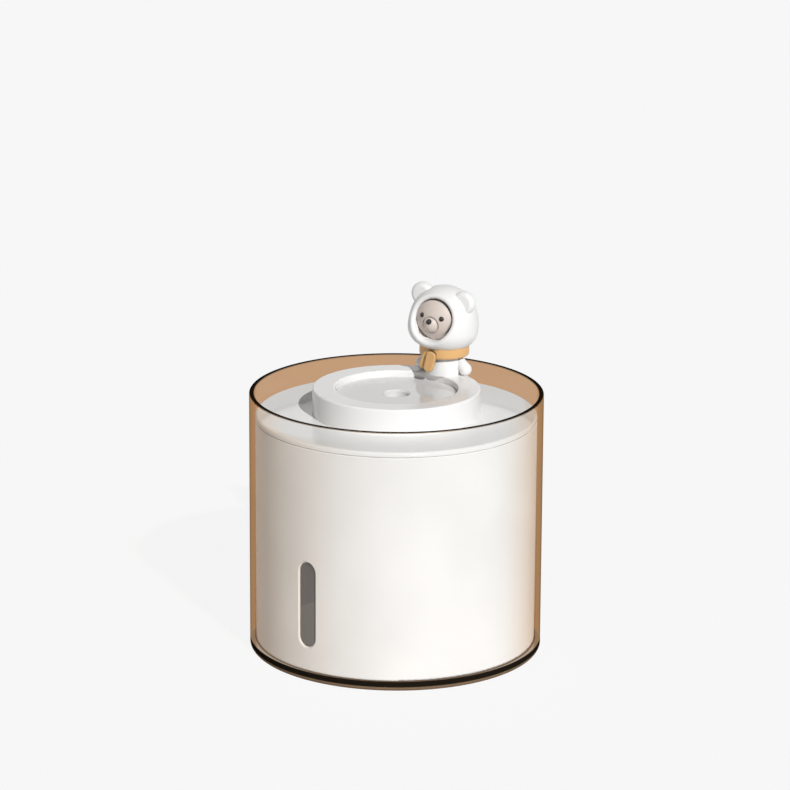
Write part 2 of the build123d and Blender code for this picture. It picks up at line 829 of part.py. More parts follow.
# Spring under the wick: one wire, each half turn a pair of arcs that share their middle tangent
with BuildPart() as wick_spring:
    with BuildLine() as coil:
        for half_turn in range(2 * spring_turns):
            begin = coil_point(half_turn / 2)
            end = coil_point((half_turn + 1) / 2)
            leave = coil_direction(half_turn / 2)
            arrive = coil_direction((half_turn + 1) / 2)
            chord = end - begin
            bend = 2 * (1 - leave.dot(arrive))
            along = chord.dot(leave + arrive)
            handle = (sqrt(along * along + bend * chord.dot(chord)) - along) / bend
            middle = (begin + leave * handle + end - arrive * handle) / 2
            first = TangentArc(begin, middle, tangent=leave)
            TangentArc(middle, end, tangent=first % 1)
    with BuildSketch(Plane(coil_point(0), z_dir=coil_direction(0))):
        Circle(spring_wire_radius)
    sweep()

# Least gap of the spring's wire to itself, among points that are half a turn apart or more
steps_per_turn = 24
coil_steps = steps_per_turn * spring_turns
coil_track = [coil.wire().position_at(step / coil_steps) for step in range(coil_steps + 1)]
coil_gap = min(
    (late - early).length - 2 * spring_wire_radius
    for index, early in enumerate(coil_track)
    for late in coil_track[index + steps_per_turn // 2 :]
)
print(f"least gap of the spring to itself: {coil_gap:.2f} mm")

# Absorbent wick
with BuildPart() as wick:
    revolve(
        half_section(
            (0, wick_bottom, 0),
            (wick_radius, wick_bottom, wick_end_round),
            (wick_radius, wick_top, wick_end_round),
            (0, wick_top, 0),
        )
    )

# Hood of the figure, a rounded head with a pocket for the face
with BuildPart() as bear_hood:
    with BuildSketch(hood_front(0)):
        with BuildLine():
            jaw_centre = (hood_radius - hood_jaw_round, hood_middle)
            jaw = CenterArc(jaw_centre, hood_jaw_round, -jaw_angle, jaw_angle)
            CenterArc((-side_reach, hood_middle), hood_side_round, 0, crown_angle)
            crown = CenterArc((0, crown_middle), hood_top - crown_middle, crown_angle, 90 - crown_angle)
            Polyline(crown @ 1, (0, hood_bottom), jaw @ 0)
        make_face()
    revolve(axis=hood_axis)
    with BuildSketch(hood_front(face_height, face_pocket_depth)):
        Circle(face_opening_radius)
    extrude(amount=2 * hood_radius, mode=Mode.SUBTRACT)
    pocket_wall = bear_hood.faces().filter_by(GeomType.CYLINDER)[0]
    brim = pocket_wall.edges().sort_by(Axis(hood_point(0, 0, face_height), -bear_back))[-1]
    fillet(brim, face_brim_round)

# Ears on the hood
with BuildPart() as bear_ears:
    for side in (-1, 1):
        with BuildSketch(hood_level(side * ear_side, ear_height, ear_forward)):
            with BuildLine():
                FilletPolyline(
                    (0, -ear_half_thickness),
                    (ear_radius, -ear_half_thickness),
                    (ear_radius, ear_half_thickness),
                    (0, ear_half_thickness),
                    radius=(0, ear_edge_fillet, ear_edge_fillet, 0),
                    close=True,
                )
            make_face()
        revolve(axis=Axis(hood_point(side * ear_side, -ear_forward, ear_height), bear_back))
    add(bear_hood.part, mode=Mode.SUBTRACT)

# Face in the pocket, with its muzzle and seats for the eyes and the nose
with BuildPart() as bear_face:
    with BuildSketch(hood_level(0, face_height)):
        with BuildLine():
            dome = TangentArc((0, -face_crown_depth), (face_radius, -face_edge_depth), tangent=(1, 0))
            Polyline(dome @ 1, (face_radius, -face_pocket_depth), (0, -face_pocket_depth), dome @ 0)
        make_face()
    revolve(axis=Axis(hood_point(0, 0, face_height), bear_back))
    with Locations(muzzle_centre):
        Sphere(muzzle_radius, rotation=(0, 0, -bear_turn))
    with Locations(Plane(muzzle_centre - muzzle_line * seam_depth, hood_side, muzzle_line)):
        Torus(seam_radius, muzzle_groove, mode=Mode.SUBTRACT)
    with Locations(*eye_places):
        Sphere(eye_radius, mode=Mode.SUBTRACT)
    with Locations(nose_place):
        Sphere(nose_radius, mode=Mode.SUBTRACT)

# Bead eyes
with BuildPart() as bear_eyes:
    with Locations(*eye_places):
        Sphere(eye_radius)

# Bead nose
with BuildPart() as bear_nose:
    with Locations(nose_place):
        Sphere(nose_radius)

# Bell-shaped body, with a neck inside the scarf that carries the leaning head
with BuildPart() as bear_body:
    with BuildSketch(bear_front(0)):
        with BuildLine():
            belly = ThreePointArc(
                (body_base_radius, 0),
                (body_belly_radius, body_belly_height),
                (body_shoulder_radius, scarf_bottom),
            )
            Polyline(
                belly @ 1,
                (scarf_inner_radius, scarf_bottom),
                (scarf_inner_radius, scarf_top),
                (0, scarf_top),
                (0, 0),
                belly @ 0,
            )
        make_face()
    revolve(axis=bear_axis)
    with BuildSketch(Plane.XY.offset(ring_top)):
        with Locations(*bear_screw_places):
            Circle(lid_screw_radius)
    extrude(amount=bear_screw_length - ring_wall + screw_gap, mode=Mode.SUBTRACT)
    add(bear_hood.part, mode=Mode.SUBTRACT)

# Two tails of the scarf that hang down in front, one behind the other
with BuildPart() as scarf_tails:
    for tail_side, lean, length, depth in (
        (front_tail_side, front_tail_lean, front_tail_length, front_tail_depth),
        (rear_tail_side, rear_tail_lean, rear_tail_length, rear_tail_depth),
    ):
        with BuildSketch(bear_front(tail_top, depth)):
            with Locations(Location((tail_side, 0), -lean)):
                RectangleRounded(tail_width, length, tail_round, align=(Align.CENTER, Align.MAX))
        tail = extrude(amount=tail_thickness)
        fillet(tail.faces().sort_by(Axis(bear_base, -bear_back))[-1].edges(), tail_edge_fillet)

# Scarf round the neck, tucked under the hood, with room for its tails
with BuildPart() as bear_scarf:
    with BuildSketch(bear_front(scarf_bottom + scarf_height / 2)):
        with Locations(((scarf_inner_radius + scarf_radius) / 2, 0)):
            RectangleRounded(scarf_radius - scarf_inner_radius, scarf_height, scarf_round)
    revolve(axis=bear_axis)
    add(bear_hood.part, mode=Mode.SUBTRACT)
    add(scarf_tails.part, mode=Mode.SUBTRACT)

# Arms that hang at its sides, from under the scarf to the ring
with BuildPart() as bear_arms:
    for side in (-1, 1):
        shoulder = bear_point(side * arm_shoulder_side, 0, arm_shoulder_height)
        hand = bear_point(side * arm_hand_side, -arm_hand_forward, arm_hand_height)
        reach = (hand - shoulder).length
        arm_line = (hand - shoulder).normalized()
        with BuildSketch(Plane(shoulder, arm_line, arm_line.cross(bear_back))):
            with BuildLine():
                CenterArc((0, 0), arm_shoulder_radius, 90, 90)
                Line((0, arm_shoulder_radius), (reach, arm_hand_radius))
                CenterArc((reach, 0), arm_hand_radius, 0, 90)
                Line((reach + arm_hand_radius, 0), (-arm_shoulder_radius, 0))
            make_face()
        revolve(axis=Axis(shoulder, arm_line))
    add(bear_body.part, mode=Mode.SUBTRACT)

pieces = {
    "outer_shell": outer_shell,
    "feet": feet,
    "tank_screws": tank_screws,
    "water_tank": water_tank,
    "level_window": level_window,
    "window_seal": window_seal,
    "lid_plate": lid_plate,
    "lid_seal": lid_seal,
    "mist_ring": mist_ring,
    "mist_dish": mist_dish,
    "atomiser_seal": atomiser_seal,
    "mesh_plate": mesh_plate,
    "piezo_ring": piezo_ring,
    "control_board": control_board,
    "board_parts": board_parts,
    "board_screws": board_screws,
    "ring_screws": ring_screws,
    "bear_screws": bear_screws,
    "usb_shell": usb_shell,
    "usb_tongue": usb_tongue,
    "switch_body": switch_body,
    "switch_plunger": switch_plunger,
    "power_button": power_button,
    "status_light": status_light,
    "wick_tube": wick_tube,
    "wick_cap": wick_cap,
    "wick_spring": wick_spring,
    "wick": wick,
    "bear_body": bear_body,
    "bear_arms": bear_arms,
    "bear_hood": bear_hood,
    "bear_ears": bear_ears,
    "bear_face": bear_face,
    "bear_eyes": bear_eyes,
    "bear_nose": bear_nose,
    "bear_scarf": bear_scarf,
    "scarf_tails": scarf_tails,
}

os.makedirs("parts", exist_ok=True)
for name, piece in pieces.items():
    piece.part.label = name
    export_step(piece.part, f"parts/{name}.step")
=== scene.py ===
import math

import bmesh
import bpy
from mathutils import Euler, Matrix, Vector


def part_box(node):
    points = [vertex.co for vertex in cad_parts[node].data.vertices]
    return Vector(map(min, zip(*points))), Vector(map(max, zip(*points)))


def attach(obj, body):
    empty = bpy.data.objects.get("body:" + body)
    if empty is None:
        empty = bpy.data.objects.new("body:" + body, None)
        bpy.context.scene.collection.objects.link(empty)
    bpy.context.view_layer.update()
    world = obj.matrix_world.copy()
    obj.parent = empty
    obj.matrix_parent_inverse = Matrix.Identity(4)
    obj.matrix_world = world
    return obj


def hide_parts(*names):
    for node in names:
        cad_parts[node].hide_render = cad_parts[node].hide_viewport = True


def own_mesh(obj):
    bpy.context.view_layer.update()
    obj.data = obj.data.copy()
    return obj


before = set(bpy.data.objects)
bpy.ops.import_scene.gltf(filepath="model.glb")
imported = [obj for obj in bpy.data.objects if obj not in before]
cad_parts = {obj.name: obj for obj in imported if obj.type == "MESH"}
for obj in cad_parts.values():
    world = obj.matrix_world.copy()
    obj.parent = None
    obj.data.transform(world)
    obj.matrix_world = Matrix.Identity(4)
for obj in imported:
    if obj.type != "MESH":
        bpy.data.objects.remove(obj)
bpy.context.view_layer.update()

bl_info = {
    "name": "Cool Mist Humidifier",
    "version": (1, 0, 0),
    "blender": (4, 5, 0),
    "location": "3D View > Sidebar > Humidifier",
    "description": "Dresses the packed humidifier: amber cup, white tank, mist lid, wick and figure",
    "category": "Object",
}


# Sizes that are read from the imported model, in metres
def node_top(node):
    """Height of the top of a node."""
    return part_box(node)[1].z


def node_bottom(node):
    """Height of the underside of a node."""
    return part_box(node)[0].z


def node_radius(node):
    """Largest reach of a turned node from the upright axis."""
    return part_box(node)[1].x


class CupSettings(bpy.types.PropertyGroup):
    """Sizes and tints of the amber cup."""

    radius: bpy.props.FloatProperty(
        name="Radius", description="Outer radius of the cup",
        default=node_radius("outer_shell"), unit="LENGTH",
    )
    rim: bpy.props.FloatProperty(
        name="Rim", description="Height of the rim above the table",
        default=node_top("outer_shell"), unit="LENGTH",
    )
    underside: bpy.props.FloatProperty(
        name="Underside", description="Height of the underside",
        default=node_bottom("outer_shell"), unit="LENGTH",
    )
    floor: bpy.props.FloatProperty(
        name="Floor", description="Height of the top of the floor",
        default=node_bottom("water_tank"), unit="LENGTH",
    )
    wall: bpy.props.FloatProperty(
        name="Wall", description="Thickness of the wall", default=0.0024, unit="LENGTH"
    )
    rim_round: bpy.props.FloatProperty(
        name="Rim Round", description="Rounding of the two edges of the rim",
        default=0.0006, unit="LENGTH",
    )
    foot_round: bpy.props.FloatProperty(
        name="Foot Round", description="Rounding of the lower edge", default=0.0022, unit="LENGTH"
    )
    # Painted dark: the black band is painted over the floor on the near side of the wall
    band_height: bpy.props.FloatProperty(
        name="Band Height", description="Height of the black band over the floor",
        default=0.001, unit="LENGTH",
    )
    segments: bpy.props.IntProperty(
        name="Segments", description="Steps round the axis", default=288, min=24
    )
    foot_count: bpy.props.IntProperty(
        name="Feet", description="Number of pockets for feet", default=4, min=1
    )
    foot_circle: bpy.props.FloatProperty(
        name="Foot Circle", description="Radius of the circle of feet", default=0.046, unit="LENGTH"
    )
    foot_start: bpy.props.FloatProperty(
        name="Foot Start", description="Place of the first foot",
        default=math.radians(45), unit="ROTATION",
    )
    foot_radius: bpy.props.FloatProperty(
        name="Foot Radius", description="Radius of a pocket", default=0.007, unit="LENGTH"
    )
    clear_tint: bpy.props.FloatVectorProperty(
        name="Clear Tint", description="Tint of one face of the near wall",
        subtype="COLOR", default=(0.997, 0.997, 0.995),
    )
    amber_tint: bpy.props.FloatVectorProperty(
        name="Amber Tint", description="Tint of one face of the wall seen from inside",
        subtype="COLOR", default=(0.775, 0.606, 0.459),
    )
    mirror_tint: bpy.props.FloatVectorProperty(
        name="Mirror Tint", description="Tint of one face of the far wall in the gloss of the lid",
        subtype="COLOR", default=(0.78, 0.765, 0.74),
    )
    slant_tint: bpy.props.FloatVectorProperty(
        name="Slant Tint", description="Tint of one face of the near wall seen aslant",
        subtype="COLOR", default=(0.985, 0.897, 0.815),
    )
    floor_tint: bpy.props.FloatVectorProperty(
        name="Floor Tint", description="Tint of one face of the cup's floor",
        subtype="COLOR", default=(0.46, 0.375, 0.3),
    )
    grazing_tint: bpy.props.FloatVectorProperty(
        name="Grazing Tint", description="Tint of one face of the wall seen edge on",
        subtype="COLOR", default=(0.62, 0.45, 0.275),
    )
    outline_tint: bpy.props.FloatVectorProperty(
        name="Outline Tint", description="Tint of one face at the very outline",
        subtype="COLOR", default=(0.47, 0.33, 0.20),
    )
    # Painted dark: black painted at rim and base in place of the dark seen in the glass there
    painted_edge_black: bpy.props.FloatVectorProperty(
        name="Edge Tint", description="Colour of the polished rim and the thick base",
        subtype="COLOR", default=(0.012, 0.009, 0.006),
    )
    # Painted dark: brown painted on the rounding under the base
    foot_tint: bpy.props.FloatVectorProperty(
        name="Foot Tint", description="Colour of the rounding under the base",
        subtype="COLOR", default=(0.20, 0.135, 0.085),
    )


class PlasticSettings(bpy.types.PropertyGroup):
    """Colours of the moulded pieces."""

    white: bpy.props.FloatVectorProperty(
        name="White", description="White of tank, lid and ring",
        subtype="COLOR", default=(0.86, 0.855, 0.845),
    )
    smoke: bpy.props.FloatVectorProperty(
        name="Smoke", description="Smoked lens of the level window",
        subtype="COLOR", default=(0.155, 0.147, 0.14),
    )
    rubber: bpy.props.FloatVectorProperty(
        name="Rubber", description="Soft feet", subtype="COLOR", default=(0.03, 0.03, 0.032)
    )
    seal: bpy.props.FloatVectorProperty(
        name="Seal", description="Silicone seals",
        subtype="COLOR", default=(0.62, 0.62, 0.60),
    )


class InnerSettings(bpy.types.PropertyGroup):
    """Colours of metal, electrics and wick."""

    steel: bpy.props.FloatVectorProperty(
        name="Steel", description="Screws and inlet shell",
        subtype="COLOR", default=(0.62, 0.62, 0.63),
    )
    bright_steel: bpy.props.FloatVectorProperty(
        name="Bright Steel", description="Mist disc and spring",
        subtype="COLOR", default=(0.6, 0.6, 0.61),
    )
    gold: bpy.props.FloatVectorProperty(
        name="Gold", description="Contacts of the inlet",
        subtype="COLOR", default=(0.83, 0.62, 0.26),
    )
    ceramic: bpy.props.FloatVectorProperty(
        name="Ceramic", description="Ring of the mist disc",
        subtype="COLOR", default=(0.62, 0.56, 0.46),
    )
    board: bpy.props.FloatVectorProperty(
        name="Board", description="Solder mask of the board",
        subtype="COLOR", default=(0.02, 0.11, 0.05),
    )
    resin: bpy.props.FloatVectorProperty(
        name="Resin", description="Black resin of switch, inlet and board parts",
        subtype="COLOR", default=(0.02, 0.02, 0.021),
    )
    light: bpy.props.FloatVectorProperty(
        name="Light", description="Light pipe", subtype="COLOR", default=(0.78, 0.82, 0.86)
    )
    tube: bpy.props.FloatVectorProperty(
        name="Tube", description="Wick tube and its cap",
        subtype="COLOR", default=(0.8, 0.8, 0.79),
    )
    felt: bpy.props.FloatVectorProperty(
        name="Felt", description="Fibre of the wick",
        subtype="COLOR", default=(0.85, 0.83, 0.78),
    )


class DetailSettings(bpy.types.PropertyGroup):
    """Contacts of the inlet, holes of the mist disc, recesses of the screws and spring of the wick."""

    inlet_angle: bpy.props.FloatProperty(
        name="Inlet Angle", description="Place of the inlet round the axis",
        default=math.radians(117), unit="ROTATION",
    )
    tongue_tip: bpy.props.FloatProperty(
        name="Tongue Tip", description="Reach of the tongue from the axis",
        default=0.038, unit="LENGTH",
    )
    tongue_thickness: bpy.props.FloatProperty(
        name="Tongue Thickness", description="Thickness of the tongue",
        default=0.0007, unit="LENGTH",
    )
    contact_count: bpy.props.IntProperty(
        name="Contacts", description="Contacts on each face of the tongue", default=12, min=1
    )
    contact_pitch: bpy.props.FloatProperty(
        name="Contact Pitch", description="Distance between contacts", default=0.0005, unit="LENGTH"
    )
    contact_width: bpy.props.FloatProperty(
        name="Contact Width", description="Width of a contact", default=0.00027, unit="LENGTH"
    )
    contact_length: bpy.props.FloatProperty(
        name="Contact Length", description="Length of a contact", default=0.0034, unit="LENGTH"
    )
    contact_height: bpy.props.FloatProperty(
        name="Contact Height", description="Thickness of a contact", default=0.00004, unit="LENGTH"
    )
    hole_count: bpy.props.IntProperty(
        name="Mist Holes", description="Holes in the dome of the mist disc", default=300, min=1
    )
    hole_spread: bpy.props.FloatProperty(
        name="Hole Spread", description="Radius of the field of holes",
        default=0.0022, unit="LENGTH",
    )
    hole_radius: bpy.props.FloatProperty(
        name="Hole Radius", description="Radius of a hole", default=0.00004, unit="LENGTH"
    )
    dome_radius: bpy.props.FloatProperty(
        name="Dome Radius", description="Radius of the dome of the mist disc",
        default=0.0024, unit="LENGTH",
    )
    dome_height: bpy.props.FloatProperty(
        name="Dome Height", description="Height of the dome of the mist disc",
        default=0.0004, unit="LENGTH",
    )
    screw_count: bpy.props.IntProperty(
        name="Screws", description="Screws under the lid", default=4, min=1
    )
    screw_circle: bpy.props.FloatProperty(
        name="Screw Circle", description="Radius of the circle of screws",
        default=0.0345, unit="LENGTH",
    )
    recess_span: bpy.props.FloatProperty(
        name="Recess Span", description="Span of a cross recess", default=0.0024, unit="LENGTH"
    )
    recess_width: bpy.props.FloatProperty(
        name="Recess Width", description="Width of the arms of a cross recess",
        default=0.0005, unit="LENGTH",
    )
    recess_depth: bpy.props.FloatProperty(
        name="Recess Depth", description="Depth of a cross recess", default=0.0009, unit="LENGTH"
    )
    spring_turns: bpy.props.FloatProperty(
        name="Spring Turns", description="Turns of the spring under the wick", default=6.0, min=1.0
    )
    spring_wire: bpy.props.FloatProperty(
        name="Spring Wire", description="Radius of the wire of the spring",
        default=0.00035, unit="LENGTH",
    )
    spring_play: bpy.props.FloatProperty(
        name="Spring Play", description="Gap over the spring when it is pressed",
        default=0.00005, unit="LENGTH",
    )


class FigureSettings(bpy.types.PropertyGroup):
    """Colours of the ornament figure."""

    white: bpy.props.FloatVectorProperty(
        name="Hood", description="White of hood and body",
        subtype="COLOR", default=(0.84, 0.837, 0.832),
    )
    face: bpy.props.FloatVectorProperty(
        name="Face", description="Beige of the face",
        subtype="COLOR", default=(0.65, 0.565, 0.51),
    )
    bead: bpy.props.FloatVectorProperty(
        name="Beads", description="Eyes and nose",
        subtype="COLOR", default=(0.008, 0.007, 0.007),
    )
    scarf: bpy.props.FloatVectorProperty(
        name="Scarf", description="Tan of the scarf",
        subtype="COLOR", default=(0.70, 0.41, 0.165),
    )


class StageSettings(bpy.types.PropertyGroup):
    """Camera and light."""

    target: bpy.props.FloatVectorProperty(
        name="Target", description="Place that the camera looks at",
        subtype="TRANSLATION", default=(-0.000702, 0.0, 0.124759),
    )
    distance: bpy.props.FloatProperty(
        name="Distance", description="From the camera to its target", default=1.846, unit="LENGTH"
    )
    elevation: bpy.props.FloatProperty(
        name="Elevation", description="Height of the camera as an angle",
        default=math.radians(15.815), unit="ROTATION",
    )
    roll: bpy.props.FloatProperty(
        name="Roll", description="Turn of the camera about its view",
        default=math.radians(0.31), unit="ROTATION",
    )
    lens: bpy.props.FloatProperty(
        name="Lens", description="Focal length in millimetres", default=177.09, unit="CAMERA"
    )
    key_azimuth: bpy.props.FloatProperty(
        name="Key Azimuth", description="Key lamp, to the right of the camera",
        default=math.radians(24), unit="ROTATION",
    )
    key_elevation: bpy.props.FloatProperty(
        name="Key Elevation", description="Key lamp, above the table",
        default=math.radians(35), unit="ROTATION",
    )
    key_spread: bpy.props.FloatProperty(
        name="Key Spread", description="Width of the key lamp as an angle",
        default=math.radians(1.2), unit="ROTATION",
    )
    key_strength: bpy.props.FloatProperty(
        name="Key Strength", description="Strength of the key lamp", default=3.12
    )
    fill_azimuth: bpy.props.FloatProperty(
        name="Fill Azimuth", description="Fill lamp, to the right of the camera",
        default=math.radians(-70), unit="ROTATION",
    )
    fill_elevation: bpy.props.FloatProperty(
        name="Fill Elevation", description="Fill lamp, above the table",
        default=math.radians(8), unit="ROTATION",
    )
    fill_spread: bpy.props.FloatProperty(
        name="Fill Spread", description="Width of the fill lamp as an angle",
        default=math.radians(80), unit="ROTATION",
    )
    fill_strength: bpy.props.FloatProperty(
        name="Fill Strength", description="Strength of the soft fill lamp", default=0.2
    )
    fill_colour: bpy.props.FloatVectorProperty(
        name="Fill Colour", description="Colour of the soft fill lamp",
        subtype="COLOR", default=(1.0, 0.84, 0.68),
    )
    ambient: bpy.props.FloatProperty(
        name="Ambient", description="Level of the light from all round", default=0.13
    )
    backdrop: bpy.props.FloatProperty(
        name="Backdrop", description="Level of the pale background", default=0.94
    )


class HumidifierSettings(bpy.types.PropertyGroup):
    """All settings of the humidifier."""

    cup: bpy.props.PointerProperty(type=CupSettings)
    plastic: bpy.props.PointerProperty(type=PlasticSettings)
    inner: bpy.props.PointerProperty(type=InnerSettings)
    detail: bpy.props.PointerProperty(type=DetailSettings)
    figure: bpy.props.PointerProperty(type=FigureSettings)
    stage: bpy.props.PointerProperty(type=StageSettings)


# Half the width over which a painted border fades, in metres
border = 0.0002

# Angle from which an edge of a made mesh is drawn sharp
sharp_angle = math.radians(35)


# Node helpers for materials
class Shade:
    """One material and short ways to add nodes to it."""

    def __init__(self, name):
        self.material = bpy.data.materials.new(name)
        self.material.use_nodes = True
        self.nodes = self.material.node_tree.nodes
        self.links = self.material.node_tree.links
        self.surface = self.nodes["Principled BSDF"]
        self.output = self.nodes["Material Output"]
        self.place = self.nodes.new("ShaderNodeTexCoord").outputs["Object"]

    def feed(self, socket, value):
        """Links a socket to a socket, or sets it to a value."""
        if isinstance(value, bpy.types.NodeSocket):
            self.links.new(value, socket)
        else:
            socket.default_value = value

    def axes(self):
        """The three Object coordinates."""
        node = self.nodes.new("ShaderNodeSeparateXYZ")
        self.links.new(self.place, node.inputs[0])
        return node.outputs

    def math(self, operation, first, second=0.0):
        """Result of a Math node."""
        node = self.nodes.new("ShaderNodeMath")
        node.operation = operation
        self.feed(node.inputs[0], first)
        self.feed(node.inputs[1], second)
        return node.outputs[0]

    def unless(self, share, other):
        """Share that is left where another share is away."""
        return self.math("SUBTRACT", share, self.math("MULTIPLY", share, other))

    def span(self, value, low, high, start=0.0, end=1.0):
        """Smooth step from start to end, as a value goes from low to high."""
        node = self.nodes.new("ShaderNodeMapRange")
        node.interpolation_type = "SMOOTHSTEP"
        self.feed(node.inputs["Value"], value)
        node.inputs["From Min"].default_value = low
        node.inputs["From Max"].default_value = high
        node.inputs["To Min"].default_value = start
        node.inputs["To Max"].default_value = end
        return node.outputs["Result"]

    def mix(self, share, first, second, blend="MIX"):
        """Colour between two colours, or another blend of them."""
        node = self.nodes.new("ShaderNodeMix")
        node.data_type = "RGBA"
        node.blend_type = blend
        self.feed(node.inputs["Factor"], share)
        self.feed(node.inputs["A"], solid(first))
        self.feed(node.inputs["B"], solid(second))
        return node.outputs["Result"]

    def layer(self, share, first, second):
        """Shader between two shaders."""
        node = self.nodes.new("ShaderNodeMixShader")
        self.feed(node.inputs["Fac"], share)
        self.links.new(first, node.inputs[1])
        self.links.new(second, node.inputs[2])
        return node.outputs[0]

    def noise(self, scale, detail=3.0, stretch=(1, 1, 1)):
        """Value of a noise on Object coordinates, with its scale per metre."""
        mapping = self.nodes.new("ShaderNodeMapping")
        mapping.inputs["Scale"].default_value = stretch
        self.links.new(self.place, mapping.inputs["Vector"])
        node = self.nodes.new("ShaderNodeTexNoise")
        node.inputs["Scale"].default_value = scale
        node.inputs["Detail"].default_value = detail
        self.links.new(mapping.outputs[0], node.inputs["Vector"])
        return node.outputs["Fac"]

    def open_to_sky(self, reach, lit_side):
        """Share that is not closed in by what lies within a reach, with one side always open."""
        # Mask for painted shade: a colour is darkened where this share is low
        node = self.nodes.new("ShaderNodeAmbientOcclusion")
        node.inputs["Distance"].default_value = reach
        geometry = self.nodes.new("ShaderNodeNewGeometry")
        turned = self.nodes.new("ShaderNodeVectorMath")
        turned.operation = "DOT_PRODUCT"
        self.links.new(geometry.outputs["Normal"], turned.inputs[0])
        turned.inputs[1].default_value = lit_side
        lit = self.span(turned.outputs["Value"], low=0.1, high=0.45)
        return self.math("MAXIMUM", self.span(node.outputs["AO"], low=0.4, high=0.85), lit)

    def relief(self, height, strength, depth):
        """Bump on the surface, with its depth in metres."""
        node = self.nodes.new("ShaderNodeBump")
        node.inputs["Strength"].default_value = strength
        node.inputs["Distance"].default_value = depth
        self.links.new(height, node.inputs["Height"])
        self.links.new(node.outputs[0], self.surface.inputs["Normal"])

    def paint(self, colour, roughness):
        """Gives the surface its colour and its roughness."""
        self.feed(self.surface.inputs["Base Color"], colour)
        self.feed(self.surface.inputs["Roughness"], roughness)


def solid(colour):
    """Colour with four channels, or a socket as it is."""
    if isinstance(colour, bpy.types.NodeSocket):
        return colour
    return (colour[0], colour[1], colour[2], 1.0)


def tinted(colour, factor):
    """Colour made darker or lighter by a factor."""
    return tuple(min(1.0, channel * factor) for channel in colour[:3])


def moulded(
    name, colour, roughness, depth=0.00002, contrast=0.025, coat=0.0, crease_shade_reach=0.0, lit_side=(0, 0, 0)
):
    """Moulded plastic: faint mottling, uneven gloss and a fine skin.

    Painted shade: where another surface lies within the given reach, the colour is darkened, apart from
    faces on the lit side.
    """
    shade = Shade(name)
    cloud = shade.noise(scale=38.0, detail=4.0)
    base = shade.mix(cloud, tinted(colour, 1 - contrast), tinted(colour, 1 + contrast))
    # Painted shade: darker colour in creases and gaps where real shade would fall, left off on the lit
    # side
    if crease_shade_reach:
        painted_dark = tinted(colour, 0.06)
        base = shade.mix(shade.open_to_sky(crease_shade_reach, lit_side), painted_dark, base)
    wear = shade.noise(scale=160.0, detail=3.0)
    gloss = shade.span(wear, low=0.25, high=0.75, start=roughness * 0.85, end=roughness * 1.15)
    shade.paint(base, gloss)
    shade.surface.inputs["Coat Weight"].default_value = coat
    shade.surface.inputs["Coat Roughness"].default_value = 0.04
    skin = shade.noise(scale=900.0, detail=2.0)
    shade.relief(skin, strength=0.12, depth=depth)
    return shade.material


def metal(name, colour, roughness):
    """Bright metal with a fine, uneven polish."""
    shade = Shade(name)
    polish = shade.noise(scale=1400.0, detail=3.0)
    base = shade.mix(polish, tinted(colour, 0.88), tinted(colour, 1.1))
    gloss = shade.span(polish, low=0.2, high=0.8, start=roughness * 0.7, end=roughness * 1.3)
    shade.paint(base, gloss)
    shade.surface.inputs["Metallic"].default_value = 1.0
    shade.relief(polish, strength=0.1, depth=0.00001)
    return shade.material


def rubber(name, colour):
    """Soft rubber with a fine grain."""
    shade = Shade(name)
    roughness = 0.62
    grain = shade.noise(scale=1800.0, detail=3.0)
    base = shade.mix(grain, tinted(colour, 0.8), tinted(colour, 1.2))
    gloss = shade.span(grain, low=0.2, high=0.8, start=roughness * 0.9, end=roughness * 1.15)
    shade.paint(base, gloss)
    shade.relief(grain, strength=0.25, depth=0.00004)
    return shade.material


